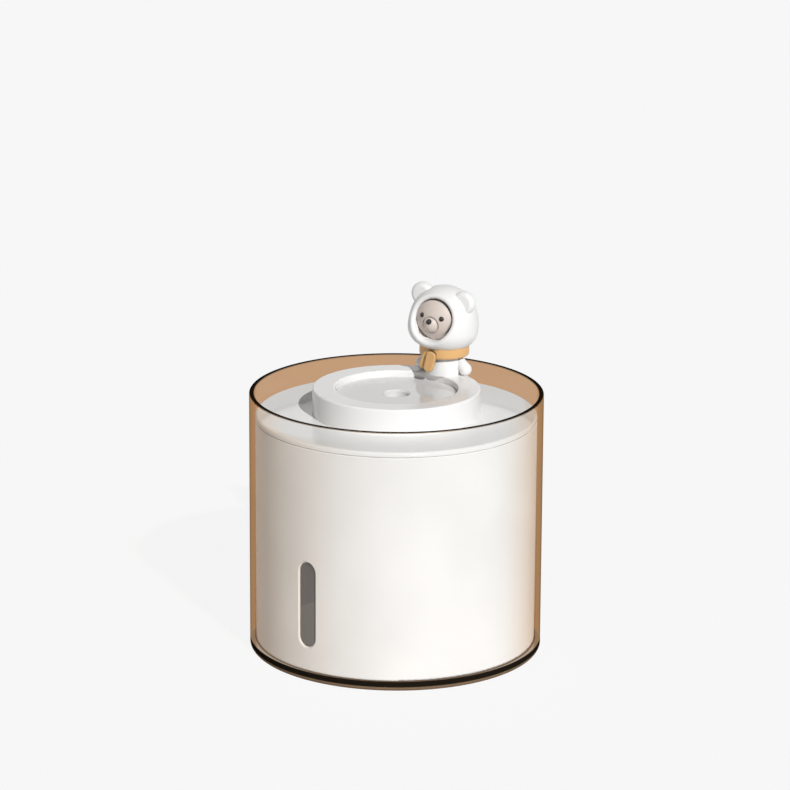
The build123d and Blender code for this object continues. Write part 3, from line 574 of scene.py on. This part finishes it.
def amber(cup):
    """Clear amber plastic, black at rim and base.

    The near wall is almost clear where it is faced and tan edge on; far wall and floor are tan and brown.
    The black at rim and base is painted, standing in for the dark seen in the glass there.
    """
    shade = Shade("amber_wall")
    across, along, height = shade.axes()
    across_square = shade.math("MULTIPLY", across, across)
    along_square = shade.math("MULTIPLY", along, along)
    radius = shade.math("SQRT", shade.math("ADD", across_square, along_square))
    geometry = shade.nodes.new("ShaderNodeNewGeometry")
    behind = geometry.outputs["Backfacing"]
    slope = shade.nodes.new("ShaderNodeSeparateXYZ")
    shade.links.new(geometry.outputs["True Normal"], slope.inputs[0])
    path = shade.nodes.new("ShaderNodeLightPath")
    mirrored = path.outputs["Is Glossy Ray"]
    lighting = shade.math("MAXIMUM", path.outputs["Is Shadow Ray"], path.outputs["Is Diffuse Ray"])
    viewed = shade.math("SUBTRACT", 1.0, lighting)
    weight = shade.nodes.new("ShaderNodeLayerWeight")
    weight.inputs["Blend"].default_value = 0.5
    facing = weight.outputs["Facing"]

    # Which face of the cup a ray meets
    outside = shade.math("GREATER_THAN", radius, cup.radius - cup.wall / 2)
    upright_limit = 0.2
    steep = shade.math("LESS_THAN", shade.math("ABSOLUTE", slope.outputs[2]), upright_limit)
    apart = shade.math("ABSOLUTE", shade.math("SUBTRACT", outside, behind))
    far_side = shade.math("MULTIPLY", shade.unless(steep, apart), viewed)
    level = shade.math("MULTIPLY", shade.math("SUBTRACT", 1.0, steep), viewed)
    near_side = shade.unless(outside, behind)
    outer_view = shade.math("MULTIPLY", outside, shade.math("SUBTRACT", viewed, mirrored))

    # Tint of the clear plastic
    slant = shade.span(facing, low=0.3, high=0.8)
    grazing = shade.math("MULTIPLY", shade.span(facing, low=0.70, high=0.77), outer_view)
    outline = shade.math("MULTIPLY", shade.span(facing, low=0.84, high=0.95), outer_view)
    near = shade.mix(slant, cup.clear_tint, cup.slant_tint)
    far = shade.mix(mirrored, cup.amber_tint, cup.mirror_tint)
    walls = shade.mix(far_side, near, far)
    plain = shade.mix(level, walls, cup.floor_tint)
    edged = shade.mix(grazing, plain, cup.grazing_tint)
    tint = shade.mix(outline, edged, cup.outline_tint)
    drift = shade.span(shade.noise(scale=24.0, detail=2.0), low=0.3, high=0.7, start=0.985, end=1.0)
    pane = shade.nodes.new("ShaderNodeBsdfTransparent")
    shade.links.new(shade.mix(1.0, tint, drift, blend="MULTIPLY"), pane.inputs["Color"])

    # Gloss of the upright faces
    mirror = shade.nodes.new("ShaderNodeBsdfGlossy")
    smear = shade.span(shade.noise(scale=70.0, detail=3.0), low=0.3, high=0.8, start=0.02, end=0.06)
    shade.links.new(smear, mirror.inputs["Roughness"])
    fresnel = shade.nodes.new("ShaderNodeFresnel")
    fresnel.inputs["IOR"].default_value = 1.46
    most_shine = 0.1
    shine_share = 0.4
    shine = shade.math("MULTIPLY", shade.math("MINIMUM", fresnel.outputs[0], most_shine), shine_share)
    front = shade.math("MULTIPLY", shine, shade.unless(steep, behind))
    clear = shade.layer(front, pane.outputs[0], mirror.outputs[0])

    # Black painted at rim and base in place of the dark seen in the glass there, with a lighter painted
    # brown on the rounding under the base, for viewing rays only
    rim = shade.span(height, low=cup.rim - 0.35 * cup.rim_round, high=cup.rim - 0.1 * cup.rim_round)
    band_top = cup.floor + cup.band_height
    band = shade.span(height, low=band_top + border, high=band_top - border)
    painted_dark = shade.math("MAXIMUM", rim, shade.math("MULTIPLY", band, near_side))
    foot_top = cup.underside + cup.foot_round
    foot = shade.span(height, low=foot_top + border, high=foot_top - border)
    foot_mottle = shade.noise(scale=120.0, detail=3.0)
    painted_foot_shade = shade.mix(foot_mottle, tinted(cup.foot_tint, 0.85), tinted(cup.foot_tint, 1.15))
    shade.paint(shade.mix(foot, cup.painted_edge_black, painted_foot_shade), roughness=0.3)
    shade.surface.inputs["Specular IOR Level"].default_value = 0.0
    whole = shade.layer(shade.math("MULTIPLY", painted_dark, viewed), clear, shade.surface.outputs[0])
    shade.links.new(whole, shade.output.inputs["Surface"])
    return shade.material


def smoked(colour):
    """Smoked lens, a little lighter below the faint line across its middle."""
    shade = Shade("smoked_lens")
    across, _, height = shade.axes()
    line_slope = 0.65
    window_across = -0.0408
    line_fade = 0.0005
    tilt = shade.math("SUBTRACT", height, shade.math("MULTIPLY", across, line_slope))
    middle = (node_top("level_window") + node_bottom("level_window")) / 2
    line = middle - line_slope * window_across
    above = shade.span(tilt, low=line - border, high=line + border)
    mottling = shade.noise(scale=60.0, detail=3.0)
    upper = shade.mix(mottling, tinted(colour, 0.97), tinted(colour, 1.03))
    lower = shade.mix(mottling, tinted(colour, 1.17), tinted(colour, 1.24))
    base = shade.mix(above, lower, upper)
    off_line = shade.math("ABSOLUTE", shade.math("SUBTRACT", tilt, line))
    brink = shade.span(off_line, low=0.0, high=line_fade, start=1.0, end=0.0)
    smear = shade.noise(scale=300.0, detail=2.0)
    gloss = shade.span(smear, low=0.2, high=0.8, start=0.1, end=0.16)
    shade.paint(shade.mix(brink, base, tinted(colour, 1.4)), gloss)
    return shade.material


def felt(name, colour):
    """Felted fibre, with strands along the wick."""
    shade = Shade(name)
    strands = shade.noise(scale=900.0, detail=4.0, stretch=(1, 1, 0.06))
    shade.paint(shade.mix(strands, tinted(colour, 0.78), tinted(colour, 1.08)), roughness=0.95)
    shade.surface.inputs["Sheen Weight"].default_value = 0.3
    shade.relief(strands, strength=0.7, depth=0.0002)
    return shade.material


# Node helpers for shapes that repeat or follow a rule
class Growth:
    """One Geometry Nodes tree with named inputs, and short ways to add nodes to it."""

    def __init__(self, name):
        self.tree = bpy.data.node_groups.new(name, "GeometryNodeTree")
        self.tree.interface.new_socket("Geometry", in_out="INPUT", socket_type="NodeSocketGeometry")
        self.tree.interface.new_socket("Geometry", in_out="OUTPUT", socket_type="NodeSocketGeometry")
        self.source = self.tree.nodes.new("NodeGroupInput")
        self.result = self.tree.nodes.new("NodeGroupOutput")
        self.values = {}

    def take(self, name, value, kind="NodeSocketFloat"):
        """Adds a named input with its value, and gives its socket."""
        socket = self.tree.interface.new_socket(name, in_out="INPUT", socket_type=kind)
        self.values[socket.identifier] = value
        return self.source.outputs[name]

    def add(self, kind, inputs, **settings):
        """Adds a node, sets its options, and links or sets its inputs."""
        node = self.tree.nodes.new(kind)
        for name, value in settings.items():
            setattr(node, name, value)
        for name, value in inputs.items():
            if isinstance(value, bpy.types.NodeSocket):
                self.tree.links.new(value, node.inputs[name])
            else:
                node.inputs[name].default_value = value
        return node.outputs[0]

    def moved(self, geometry, place, turn=(0, 0, 0)):
        """Geometry that is turned and then moved."""
        return self.add(
            "GeometryNodeTransform", {"Geometry": geometry, "Translation": place, "Rotation": turn}
        )

    def vector(self, x, y, z):
        """Vector of three numbers or sockets."""
        return self.add("ShaderNodeCombineXYZ", {"X": x, "Y": y, "Z": z})

    def join(self, *parts):
        """All the parts as one geometry."""
        node = self.tree.nodes.new("GeometryNodeJoinGeometry")
        for part in parts:
            self.tree.links.new(part, node.inputs[0])
        return node.outputs[0]

    def math(self, operation, first, second=0.0):
        """Result of a Math node."""
        return self.add("ShaderNodeMath", {0: first, 1: second}, operation=operation)

    def end(self, last, material):
        """Ends the tree with real geometry in one material."""
        real = self.add("GeometryNodeRealizeInstances", {"Geometry": last})
        painted = self.add("GeometryNodeSetMaterial", {"Geometry": real, "Material": material})
        self.tree.links.new(painted, self.result.inputs[0])

    def make(self, name, start):
        """Runs the tree on a start mesh and keeps what comes out as a finished object."""
        carrier = bpy.data.objects.new(name, start)
        bpy.context.scene.collection.objects.link(carrier)
        modifier = carrier.modifiers.new(name, "NODES")
        modifier.node_group = self.tree
        for identifier, value in self.values.items():
            modifier[identifier] = value
        graph = bpy.context.evaluated_depsgraph_get()
        mesh = bpy.data.meshes.new_from_object(carrier.evaluated_get(graph))
        carrier.modifiers.remove(modifier)
        carrier.data = mesh
        if not mesh.polygons:
            raise RuntimeError(name + " came out empty")
        mesh.shade_smooth()
        mesh.set_sharp_from_angle(angle=sharp_angle)
        return carrier


def arc(centre, radius, start, end, steps=8):
    """Points of radius and height along an arc, with its angles in degrees."""
    angles = [math.radians(start + (end - start) * step / steps) for step in range(steps + 1)]
    across, up = centre
    return [(across + radius * math.cos(angle), up + radius * math.sin(angle)) for angle in angles]


def chain(name, points, radius):
    """Wire mesh of a half section, laid flat for a sweep round a circle of that radius."""
    mesh = bpy.data.meshes.new(name)
    places = [(point[0] - radius, -point[1], 0) for point in points]
    mesh.from_pydata(places, [(step, step + 1) for step in range(len(places) - 1)], [])
    return mesh


def inlet_contacts(detail, material):
    """Two rows of contacts on the tongue of the inlet."""
    growth = Growth("inlet_contacts")
    count = growth.take("Contacts", detail.contact_count, "NodeSocketInt")
    pitch = growth.take("Pitch", detail.contact_pitch)
    width = growth.take("Width", detail.contact_width)
    length = growth.take("Length", detail.contact_length)
    height = growth.take("Height", detail.contact_height)
    tip = growth.take("Tongue Tip", detail.tongue_tip)
    face = growth.take("Tongue Face", detail.tongue_thickness / 2)
    angle = growth.take("Angle", detail.inlet_angle)
    level = growth.take("Level", (node_top("usb_tongue") + node_bottom("usb_tongue")) / 2)

    setback_share = 0.6
    gaps = growth.math("SUBTRACT", count, 1.0)
    first = growth.math("MULTIPLY", growth.math("MULTIPLY", gaps, pitch), -0.5)
    middle = growth.math("SUBTRACT", tip, growth.math("MULTIPLY", length, setback_share))
    row = growth.add("GeometryNodeMeshLine", {
        "Count": count,
        "Start Location": growth.vector(middle, first, 0.0),
        "Offset": growth.vector(0.0, pitch, 0.0),
    })
    strip = growth.add("GeometryNodeMeshCube", {"Size": growth.vector(length, width, height)})
    rows = growth.add("GeometryNodeInstanceOnPoints", {"Points": row, "Instance": strip})
    upper = growth.moved(rows, growth.vector(0.0, 0.0, face))
    lower = growth.moved(rows, growth.vector(0.0, 0.0, growth.math("MULTIPLY", face, -1.0)))
    place = growth.vector(0.0, 0.0, level)
    turn = growth.vector(0.0, 0.0, angle)
    growth.end(growth.moved(growth.join(upper, lower), place, turn), material)
    return growth.make("inlet_contacts", bpy.data.meshes.new("contact_start"))


def mist_holes(detail, material):
    """Fine holes on the dome of the mist disc, spread by the golden angle."""
    growth = Growth("mist_holes")
    count = growth.take("Holes", detail.hole_count, "NodeSocketInt")
    spread = growth.take("Spread", detail.hole_spread)
    size = growth.take("Hole Radius", detail.hole_radius)
    dome = growth.take("Dome Radius", detail.dome_radius)
    rise = growth.take("Dome Height", detail.dome_height)
    top = growth.take("Top", node_top("mesh_plate"))

    golden_angle = math.pi * (3 - math.sqrt(5))
    hole_sides = 8
    hole_depth = 0.00001
    index = growth.add("GeometryNodeInputIndex", {})
    share = growth.math("DIVIDE", growth.math("ADD", index, 0.5), count)
    reach = growth.math("MULTIPLY", spread, growth.math("SQRT", share))
    turn = growth.math("MULTIPLY", index, golden_angle)
    slope = growth.math("DIVIDE", reach, dome)
    drop = growth.math("MULTIPLY", growth.math("MULTIPLY", slope, slope), rise)
    place = growth.vector(
        growth.math("MULTIPLY", reach, growth.math("COSINE", turn)),
        growth.math("MULTIPLY", reach, growth.math("SINE", turn)),
        growth.math("SUBTRACT", top, drop),
    )
    points = growth.add("GeometryNodePoints", {"Count": count, "Position": place})
    disc = growth.add("GeometryNodeMeshCylinder", {
        "Vertices": hole_sides,
        "Radius": size,
        "Depth": hole_depth,
    })
    growth.end(growth.add("GeometryNodeInstanceOnPoints", {"Points": points, "Instance": disc}), material)
    return growth.make("mist_holes", bpy.data.meshes.new("hole_start"))


def recessed_screws(detail, material):
    """Screws under the lid, with a cross recess in each head."""
    growth = Growth("recessed_screws")
    count = growth.take("Screws", detail.screw_count, "NodeSocketInt")
    circle = growth.take("Circle", detail.screw_circle)
    span = growth.take("Span", detail.recess_span)
    width = growth.take("Width", detail.recess_width)
    depth = growth.take("Depth", detail.recess_depth)
    head = growth.take("Head", node_bottom("ring_screws"))

    tall = growth.math("MULTIPLY", depth, 2.0)
    along = growth.add("GeometryNodeMeshCube", {"Size": growth.vector(span, width, tall)})
    across = growth.add("GeometryNodeMeshCube", {"Size": growth.vector(width, span, tall)})
    cross = growth.add("GeometryNodeMeshBoolean", {"Mesh 2": along}, operation="UNION", solver="EXACT")
    growth.tree.links.new(across, cross.node.inputs["Mesh 2"])
    ring = growth.add("GeometryNodeMeshCircle", {"Vertices": count, "Radius": circle})
    spread = growth.add("GeometryNodeInstanceOnPoints", {"Points": ring, "Instance": cross})
    crosses = growth.add("GeometryNodeRealizeInstances", {
        "Geometry": growth.moved(spread, growth.vector(0.0, 0.0, head)),
    })
    cut = growth.add(
        "GeometryNodeMeshBoolean",
        {"Mesh 1": growth.source.outputs["Geometry"], "Mesh 2": crosses},
        operation="DIFFERENCE",
        solver="EXACT",
    )
    growth.end(cut, material)
    return growth.make("recessed_screws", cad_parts["ring_screws"].data.copy())


def wick_coil(detail, material):
    """Spring under the wick: a round wire along a spiral."""
    growth = Growth("wick_coil")
    turns = growth.take("Turns", detail.spring_turns)
    wire = growth.take("Wire Radius", detail.spring_wire)
    radius = growth.take("Radius", node_radius("wick_spring") - detail.spring_wire)
    bottom = growth.take("Bottom", node_bottom("wick_spring"))
    top = growth.take("Top", node_top("wick_spring"))

    steps_a_turn = 48
    wire_sides = 16
    tall = growth.math("SUBTRACT", top, bottom)
    climb = growth.math("SUBTRACT", tall, growth.math("MULTIPLY", wire, 2.0))
    track = growth.add("GeometryNodeCurveSpiral", {
        "Resolution": steps_a_turn,
        "Rotations": turns,
        "Start Radius": radius,
        "End Radius": radius,
        "Height": climb,
    })
    section = growth.add("GeometryNodeCurvePrimitiveCircle", {"Resolution": wire_sides, "Radius": wire})
    rod = growth.add("GeometryNodeCurveToMesh", {
        "Curve": track,
        "Profile Curve": section,
        "Fill Caps": True,
    })
    growth.end(growth.moved(rod, growth.vector(0.0, 0.0, growth.math("ADD", bottom, wire))), material)
    return growth.make("wick_coil", bpy.data.meshes.new("coil_start"))


# Operators, one for each group of pieces
def dress(node, material):
    """Gives a CAD node a finished material."""
    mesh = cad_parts[node].data
    mesh.materials.clear()
    mesh.materials.append(material)


class HUMIDIFIER_OT_amber_cup(bpy.types.Operator):
    """Turn the amber cup from its half section, with pockets for the feet"""

    bl_idname = "humidifier.amber_cup"
    bl_label = "Amber Cup"

    def execute(self, context):
        cup = context.scene.humidifier.cup
        inner = cup.radius - cup.wall
        under = cup.underside
        points = [(0, cup.floor), (inner, cup.floor)]
        points += arc((inner + cup.rim_round, cup.rim - cup.rim_round), cup.rim_round, 180, 90)
        points += arc((cup.radius - cup.rim_round, cup.rim - cup.rim_round), cup.rim_round, 90, 0)
        foot_centre = (cup.radius - cup.foot_round, under + cup.foot_round)
        points += arc(foot_centre, cup.foot_round, 0, -90, steps=12)
        points += [(0, under)]

        weld_distance = 0.00001
        pocket_sides = 64
        growth = Growth("turned_cup")
        radius = growth.take("Radius", cup.radius)
        segments = growth.take("Segments", cup.segments, "NodeSocketInt")
        feet = growth.take("Feet", cup.foot_count, "NodeSocketInt")
        foot_circle = growth.take("Foot Circle", cup.foot_circle)
        foot_start = growth.take("Foot Start", cup.foot_start)
        foot_radius = growth.take("Foot Radius", cup.foot_radius)
        foot_height = growth.take("Foot Height", node_top("feet"))

        section = growth.add("GeometryNodeMeshToCurve", {"Mesh": growth.source.outputs["Geometry"]})
        ring = growth.add("GeometryNodeCurvePrimitiveCircle", {"Resolution": segments, "Radius": radius})
        level = growth.add("GeometryNodeSetCurveNormal", {"Curve": ring}, mode="Z_UP")
        turned = growth.add("GeometryNodeCurveToMesh", {"Curve": level, "Profile Curve": section})
        closed = growth.add("GeometryNodeMergeByDistance", {"Geometry": turned, "Distance": weld_distance})

        places = growth.add("GeometryNodeMeshCircle", {"Vertices": feet, "Radius": foot_circle})
        pocket = growth.add("GeometryNodeMeshCylinder", {
            "Vertices": pocket_sides,
            "Radius": foot_radius,
            "Depth": growth.math("MULTIPLY", foot_height, 2.0),
        })
        turned_pocket = growth.moved(pocket, (0, 0, 0), (0, 0, math.pi / pocket_sides))
        spread = growth.add("GeometryNodeInstanceOnPoints", {"Points": places, "Instance": turned_pocket})
        pockets = growth.add("GeometryNodeRealizeInstances", {
            "Geometry": growth.moved(spread, (0, 0, 0), growth.vector(0.0, 0.0, foot_start)),
        })
        cut = growth.add(
            "GeometryNodeMeshBoolean",
            {"Mesh 1": closed, "Mesh 2": pockets},
            operation="DIFFERENCE",
            solver="EXACT",
        )
        growth.end(cut, amber(cup))
        piece = growth.make("amber_cup", chain("cup_section", points, cup.radius))
        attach(piece, "cup")
        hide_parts("outer_shell")
        return {"FINISHED"}


class HUMIDIFIER_OT_water_tank(bpy.types.Operator):
    """Finish the tank, its window and the feet"""

    bl_idname = "humidifier.water_tank"
    bl_label = "Water Tank"

    def execute(self, context):
        plastic = context.scene.humidifier.plastic
        # Painted shade: the tank's white is darkened where another part lies within half a millimetre, as
        # in the gap under the lid
        tank_white = moulded("tank_white", plastic.white, roughness=0.34, contrast=0.006, crease_shade_reach=0.0005)
        dress("water_tank", tank_white)
        dress("level_window", smoked(plastic.smoke))
        dress("window_seal", rubber("window_silicone", plastic.seal))
        dress("feet", rubber("foot_rubber", plastic.rubber))
        steel = context.scene.humidifier.inner.steel
        dress("tank_screws", metal("tank_screw_steel", steel, roughness=0.3))
        return {"FINISHED"}


class HUMIDIFIER_OT_lid(bpy.types.Operator):
    """Finish the lid, the raised ring and the dish, with mist holes and screws"""

    bl_idname = "humidifier.lid"
    bl_label = "Lid"

    def execute(self, context):
        plastic = context.scene.humidifier.plastic
        inner = context.scene.humidifier.inner
        detail = context.scene.humidifier.detail
        # Painted shade: the dish takes a darker copy of the white, for the shade of its sunk place in the
        # ring
        dish_shaded_white = tinted(plastic.white, 0.83)
        finishes = (
            ("lid_plate", "lid_white", plastic.white, 0.12, 0.000002),
            ("mist_ring", "ring_white", plastic.white, 0.2, 0.000004),
            ("mist_dish", "dish_shaded_white", dish_shaded_white, 0.03, 0.0000005),
        )
        for node, name, white, roughness, depth in finishes:
            dress(node, moulded(name, white, roughness, depth=depth, contrast=0.006))
        dress("lid_seal", rubber("lid_silicone", plastic.seal))
        dress("atomiser_seal", rubber("grommet_silicone", plastic.seal))
        dress("mesh_plate", metal("mesh_steel", inner.bright_steel, roughness=0.25))
        dress("piezo_ring", moulded("piezo_ceramic", inner.ceramic, roughness=0.5))
        holes = mist_holes(detail, rubber("hole_dark", plastic.rubber))
        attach(holes, "lid")
        screws = recessed_screws(detail, metal("ring_screw_steel", inner.steel, roughness=0.3))
        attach(screws, "lid")
        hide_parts("ring_screws")
        return {"FINISHED"}


class HUMIDIFIER_OT_electrics(bpy.types.Operator):
    """Finish the board, the inlet with its contacts, the button and the light"""

    bl_idname = "humidifier.electrics"
    bl_label = "Electrics"

    def execute(self, context):
        plastic = context.scene.humidifier.plastic
        inner = context.scene.humidifier.inner
        detail = context.scene.humidifier.detail
        dress("control_board", moulded("board_mask", inner.board, roughness=0.35, contrast=0.12))
        black = moulded("black_resin", inner.resin, roughness=0.45, contrast=0.1)
        for node in ("board_parts", "usb_tongue", "switch_body", "switch_plunger"):
            dress(node, black)
        steel = metal("small_steel", inner.steel, roughness=0.28)
        for node in ("board_screws", "bear_screws", "usb_shell"):
            dress(node, steel)
        contacts = inlet_contacts(detail, metal("contact_gold", inner.gold, roughness=0.25))
        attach(contacts, "lid")
        dress("power_button", moulded("button_white", plastic.white, roughness=0.2))
        dress("status_light", moulded("light_pipe", inner.light, roughness=0.12, coat=0.5))
        return {"FINISHED"}


class HUMIDIFIER_OT_wick(bpy.types.Operator):
    """Finish the wick and its tube, and wind its spring"""

    bl_idname = "humidifier.wick"
    bl_label = "Wick"

    def execute(self, context):
        inner = context.scene.humidifier.inner
        detail = context.scene.humidifier.detail
        dress("wick_tube", moulded("tube_white", inner.tube, roughness=0.4))
        dress("wick_cap", moulded("cap_white", inner.tube, roughness=0.4))
        dress("wick", felt("wick_felt", inner.felt))
        coil = wick_coil(detail, metal("spring_steel", inner.bright_steel, roughness=0.22))
        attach(coil, "wick_holder")
        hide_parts("wick_spring")
        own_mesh(coil)
        return {"FINISHED"}


class HUMIDIFIER_OT_figure(bpy.types.Operator):
    """Finish the ornament figure"""

    bl_idname = "humidifier.figure"
    bl_label = "Figure"

    def execute(self, context):
        figure = context.scene.humidifier.figure
        white = moulded("figure_white", figure.white, roughness=0.34)
        for node in ("bear_body", "bear_arms", "bear_hood", "bear_ears"):
            dress(node, white)
        # Painted shade: the face's beige is darkened in the gap round the face, except on faces turned
        # left and down
        lit_side = (-0.75, 0, -0.65)
        beige = moulded(
            "figure_beige", figure.face, roughness=0.5, contrast=0.05, crease_shade_reach=0.002, lit_side=lit_side
        )
        dress("bear_face", beige)
        bead = moulded("bead_black", figure.bead, roughness=0.4)
        dress("bear_eyes", bead)
        dress("bear_nose", bead)
        # Painted shade: the scarf's tan is darkened where hood, tails or body lie within nine millimetres
        scarf = moulded("scarf_tan", figure.scarf, roughness=0.42, contrast=0.05, crease_shade_reach=0.009)
        dress("bear_scarf", scarf)
        dress("scarf_tails", scarf)
        return {"FINISHED"}


# Stage: floor, light and camera
class HUMIDIFIER_OT_stage(bpy.types.Operator):
    """Set the floor, the light and the camera"""

    bl_idname = "humidifier.stage"
    bl_label = "Stage"

    def execute(self, context):
        stage = context.scene.humidifier.stage
        scene = context.scene
        scene.view_settings.view_transform = "Standard"

        floor_mesh = bpy.data.meshes.new("floor")
        form = bmesh.new()
        bmesh.ops.create_circle(form, cap_ends=True, segments=96, radius=12.0)
        form.to_mesh(floor_mesh)
        form.free()
        floor = bpy.data.objects.new("floor", floor_mesh)
        scene.collection.objects.link(floor)
        floor_mesh.materials.append(floor_paint(stage))

        scene.world = sky(stage)

        white = (1, 1, 1)
        key = hang_lamp("key_lamp", stage.key_strength, white, stage.key_spread)
        key.rotation_euler = (math.pi / 2 - stage.key_elevation, 0, stage.key_azimuth)
        fill = hang_lamp("fill_lamp", stage.fill_strength, stage.fill_colour, stage.fill_spread)
        fill.rotation_euler = (math.pi / 2 - stage.fill_elevation, 0, stage.fill_azimuth)

        camera_data = bpy.data.cameras.new("photo_camera")
        camera_data.lens = stage.lens
        camera_data.sensor_width = 36.0
        camera_data.clip_end = 50.0
        camera = bpy.data.objects.new("photo_camera", camera_data)
        tilt = Euler((math.pi / 2 - stage.elevation, 0, 0)).to_matrix()
        turn = tilt @ Matrix.Rotation(stage.roll, 3, "Z")
        place = Vector(stage.target) + turn @ Vector((0, 0, 1)) * stage.distance
        camera.matrix_world = Matrix.Translation(place) @ turn.to_4x4()
        scene.collection.objects.link(camera)
        scene.camera = camera
        return {"FINISHED"}


def hang_lamp(name, strength, colour, spread):
    """Distant lamp that still has to be turned to its place in the sky."""
    data = bpy.data.lights.new(name, "SUN")
    data.energy = strength
    data.color = colour
    data.angle = spread
    lamp = bpy.data.objects.new(name, data)
    bpy.context.scene.collection.objects.link(lamp)
    return lamp


def seen_directly(nodes, links):
    """Share of rays that come from the camera, a mirror or clear plastic."""
    path = nodes.new("ShaderNodeLightPath")
    first = nodes.new("ShaderNodeMath")
    first.operation = "MAXIMUM"
    links.new(path.outputs["Is Camera Ray"], first.inputs[0])
    links.new(path.outputs["Is Glossy Ray"], first.inputs[1])
    second = nodes.new("ShaderNodeMath")
    second.operation = "MAXIMUM"
    links.new(first.outputs[0], second.inputs[0])
    links.new(path.outputs["Is Transmission Ray"], second.inputs[1])
    return second.outputs[0]


def floor_paint(stage):
    """Pale floor that keeps a faint shadow and otherwise shows the background's level."""
    glow_share = 0.94
    glow_lift = 1.01
    material = bpy.data.materials.new("floor_paint")
    material.use_nodes = True
    nodes = material.node_tree.nodes
    links = material.node_tree.links
    surface = nodes["Principled BSDF"]
    surface.inputs["Base Color"].default_value = (0.86, 0.86, 0.86, 1.0)
    surface.inputs["Roughness"].default_value = 0.9
    surface.inputs["Specular IOR Level"].default_value = 0.0
    glow = nodes.new("ShaderNodeEmission")
    glow.inputs["Strength"].default_value = stage.backdrop * glow_lift
    share = nodes.new("ShaderNodeMath")
    share.operation = "MULTIPLY"
    links.new(seen_directly(nodes, links), share.inputs[0])
    share.inputs[1].default_value = glow_share
    blend = nodes.new("ShaderNodeMixShader")
    links.new(share.outputs[0], blend.inputs["Fac"])
    links.new(surface.outputs[0], blend.inputs[1])
    links.new(glow.outputs[0], blend.inputs[2])
    links.new(blend.outputs[0], nodes["Material Output"].inputs["Surface"])
    return material


def sky(stage):
    """World with an even ambient level, seen at the background's level."""
    world = bpy.data.worlds.new("studio")
    world.use_nodes = True
    nodes = world.node_tree.nodes
    links = world.node_tree.links
    level = nodes.new("ShaderNodeMapRange")
    links.new(seen_directly(nodes, links), level.inputs["Value"])
    level.inputs["To Min"].default_value = stage.ambient
    level.inputs["To Max"].default_value = stage.backdrop
    links.new(level.outputs["Result"], nodes["Background"].inputs["Strength"])
    nodes["Background"].inputs["Color"].default_value = (1.0, 1.0, 1.0, 1.0)
    return world


# Panel and registration
class HUMIDIFIER_PT_panel(bpy.types.Panel):
    """Sidebar panel of the humidifier"""

    bl_idname = "HUMIDIFIER_PT_panel"
    bl_label = "Humidifier"
    bl_space_type = "VIEW_3D"
    bl_region_type = "UI"
    bl_category = "Humidifier"

    def draw(self, context):
        settings = context.scene.humidifier
        for step in build_steps:
            self.layout.operator(step.bl_idname)
        for part in settings.__annotations__:
            group = getattr(settings, part)
            box = self.layout.box()
            for name in group.__annotations__:
                box.prop(group, name)


build_steps = (
    HUMIDIFIER_OT_stage,
    HUMIDIFIER_OT_amber_cup,
    HUMIDIFIER_OT_water_tank,
    HUMIDIFIER_OT_lid,
    HUMIDIFIER_OT_electrics,
    HUMIDIFIER_OT_wick,
    HUMIDIFIER_OT_figure,
)
groups = (
    CupSettings,
    PlasticSettings,
    InnerSettings,
    DetailSettings,
    FigureSettings,
    StageSettings,
    HumidifierSettings,
)


def register():
    """Makes the settings, operators and panel known to Blender."""
    for item in groups + build_steps + (HUMIDIFIER_PT_panel,):
        bpy.utils.register_class(item)
    bpy.types.Scene.humidifier = bpy.props.PointerProperty(type=HumidifierSettings)


def unregister():
    """Takes them away again."""
    del bpy.types.Scene.humidifier
    for item in reversed(groups + build_steps + (HUMIDIFIER_PT_panel,)):
        bpy.utils.unregister_class(item)


def main():
    """Builds the dressed humidifier on its stage."""
    register()
    bpy.ops.humidifier.stage()
    bpy.ops.humidifier.amber_cup()
    bpy.ops.humidifier.water_tank()
    bpy.ops.humidifier.lid()
    bpy.ops.humidifier.electrics()
    bpy.ops.humidifier.wick()
    bpy.ops.humidifier.figure()


if __name__ == "__main__":
    main()
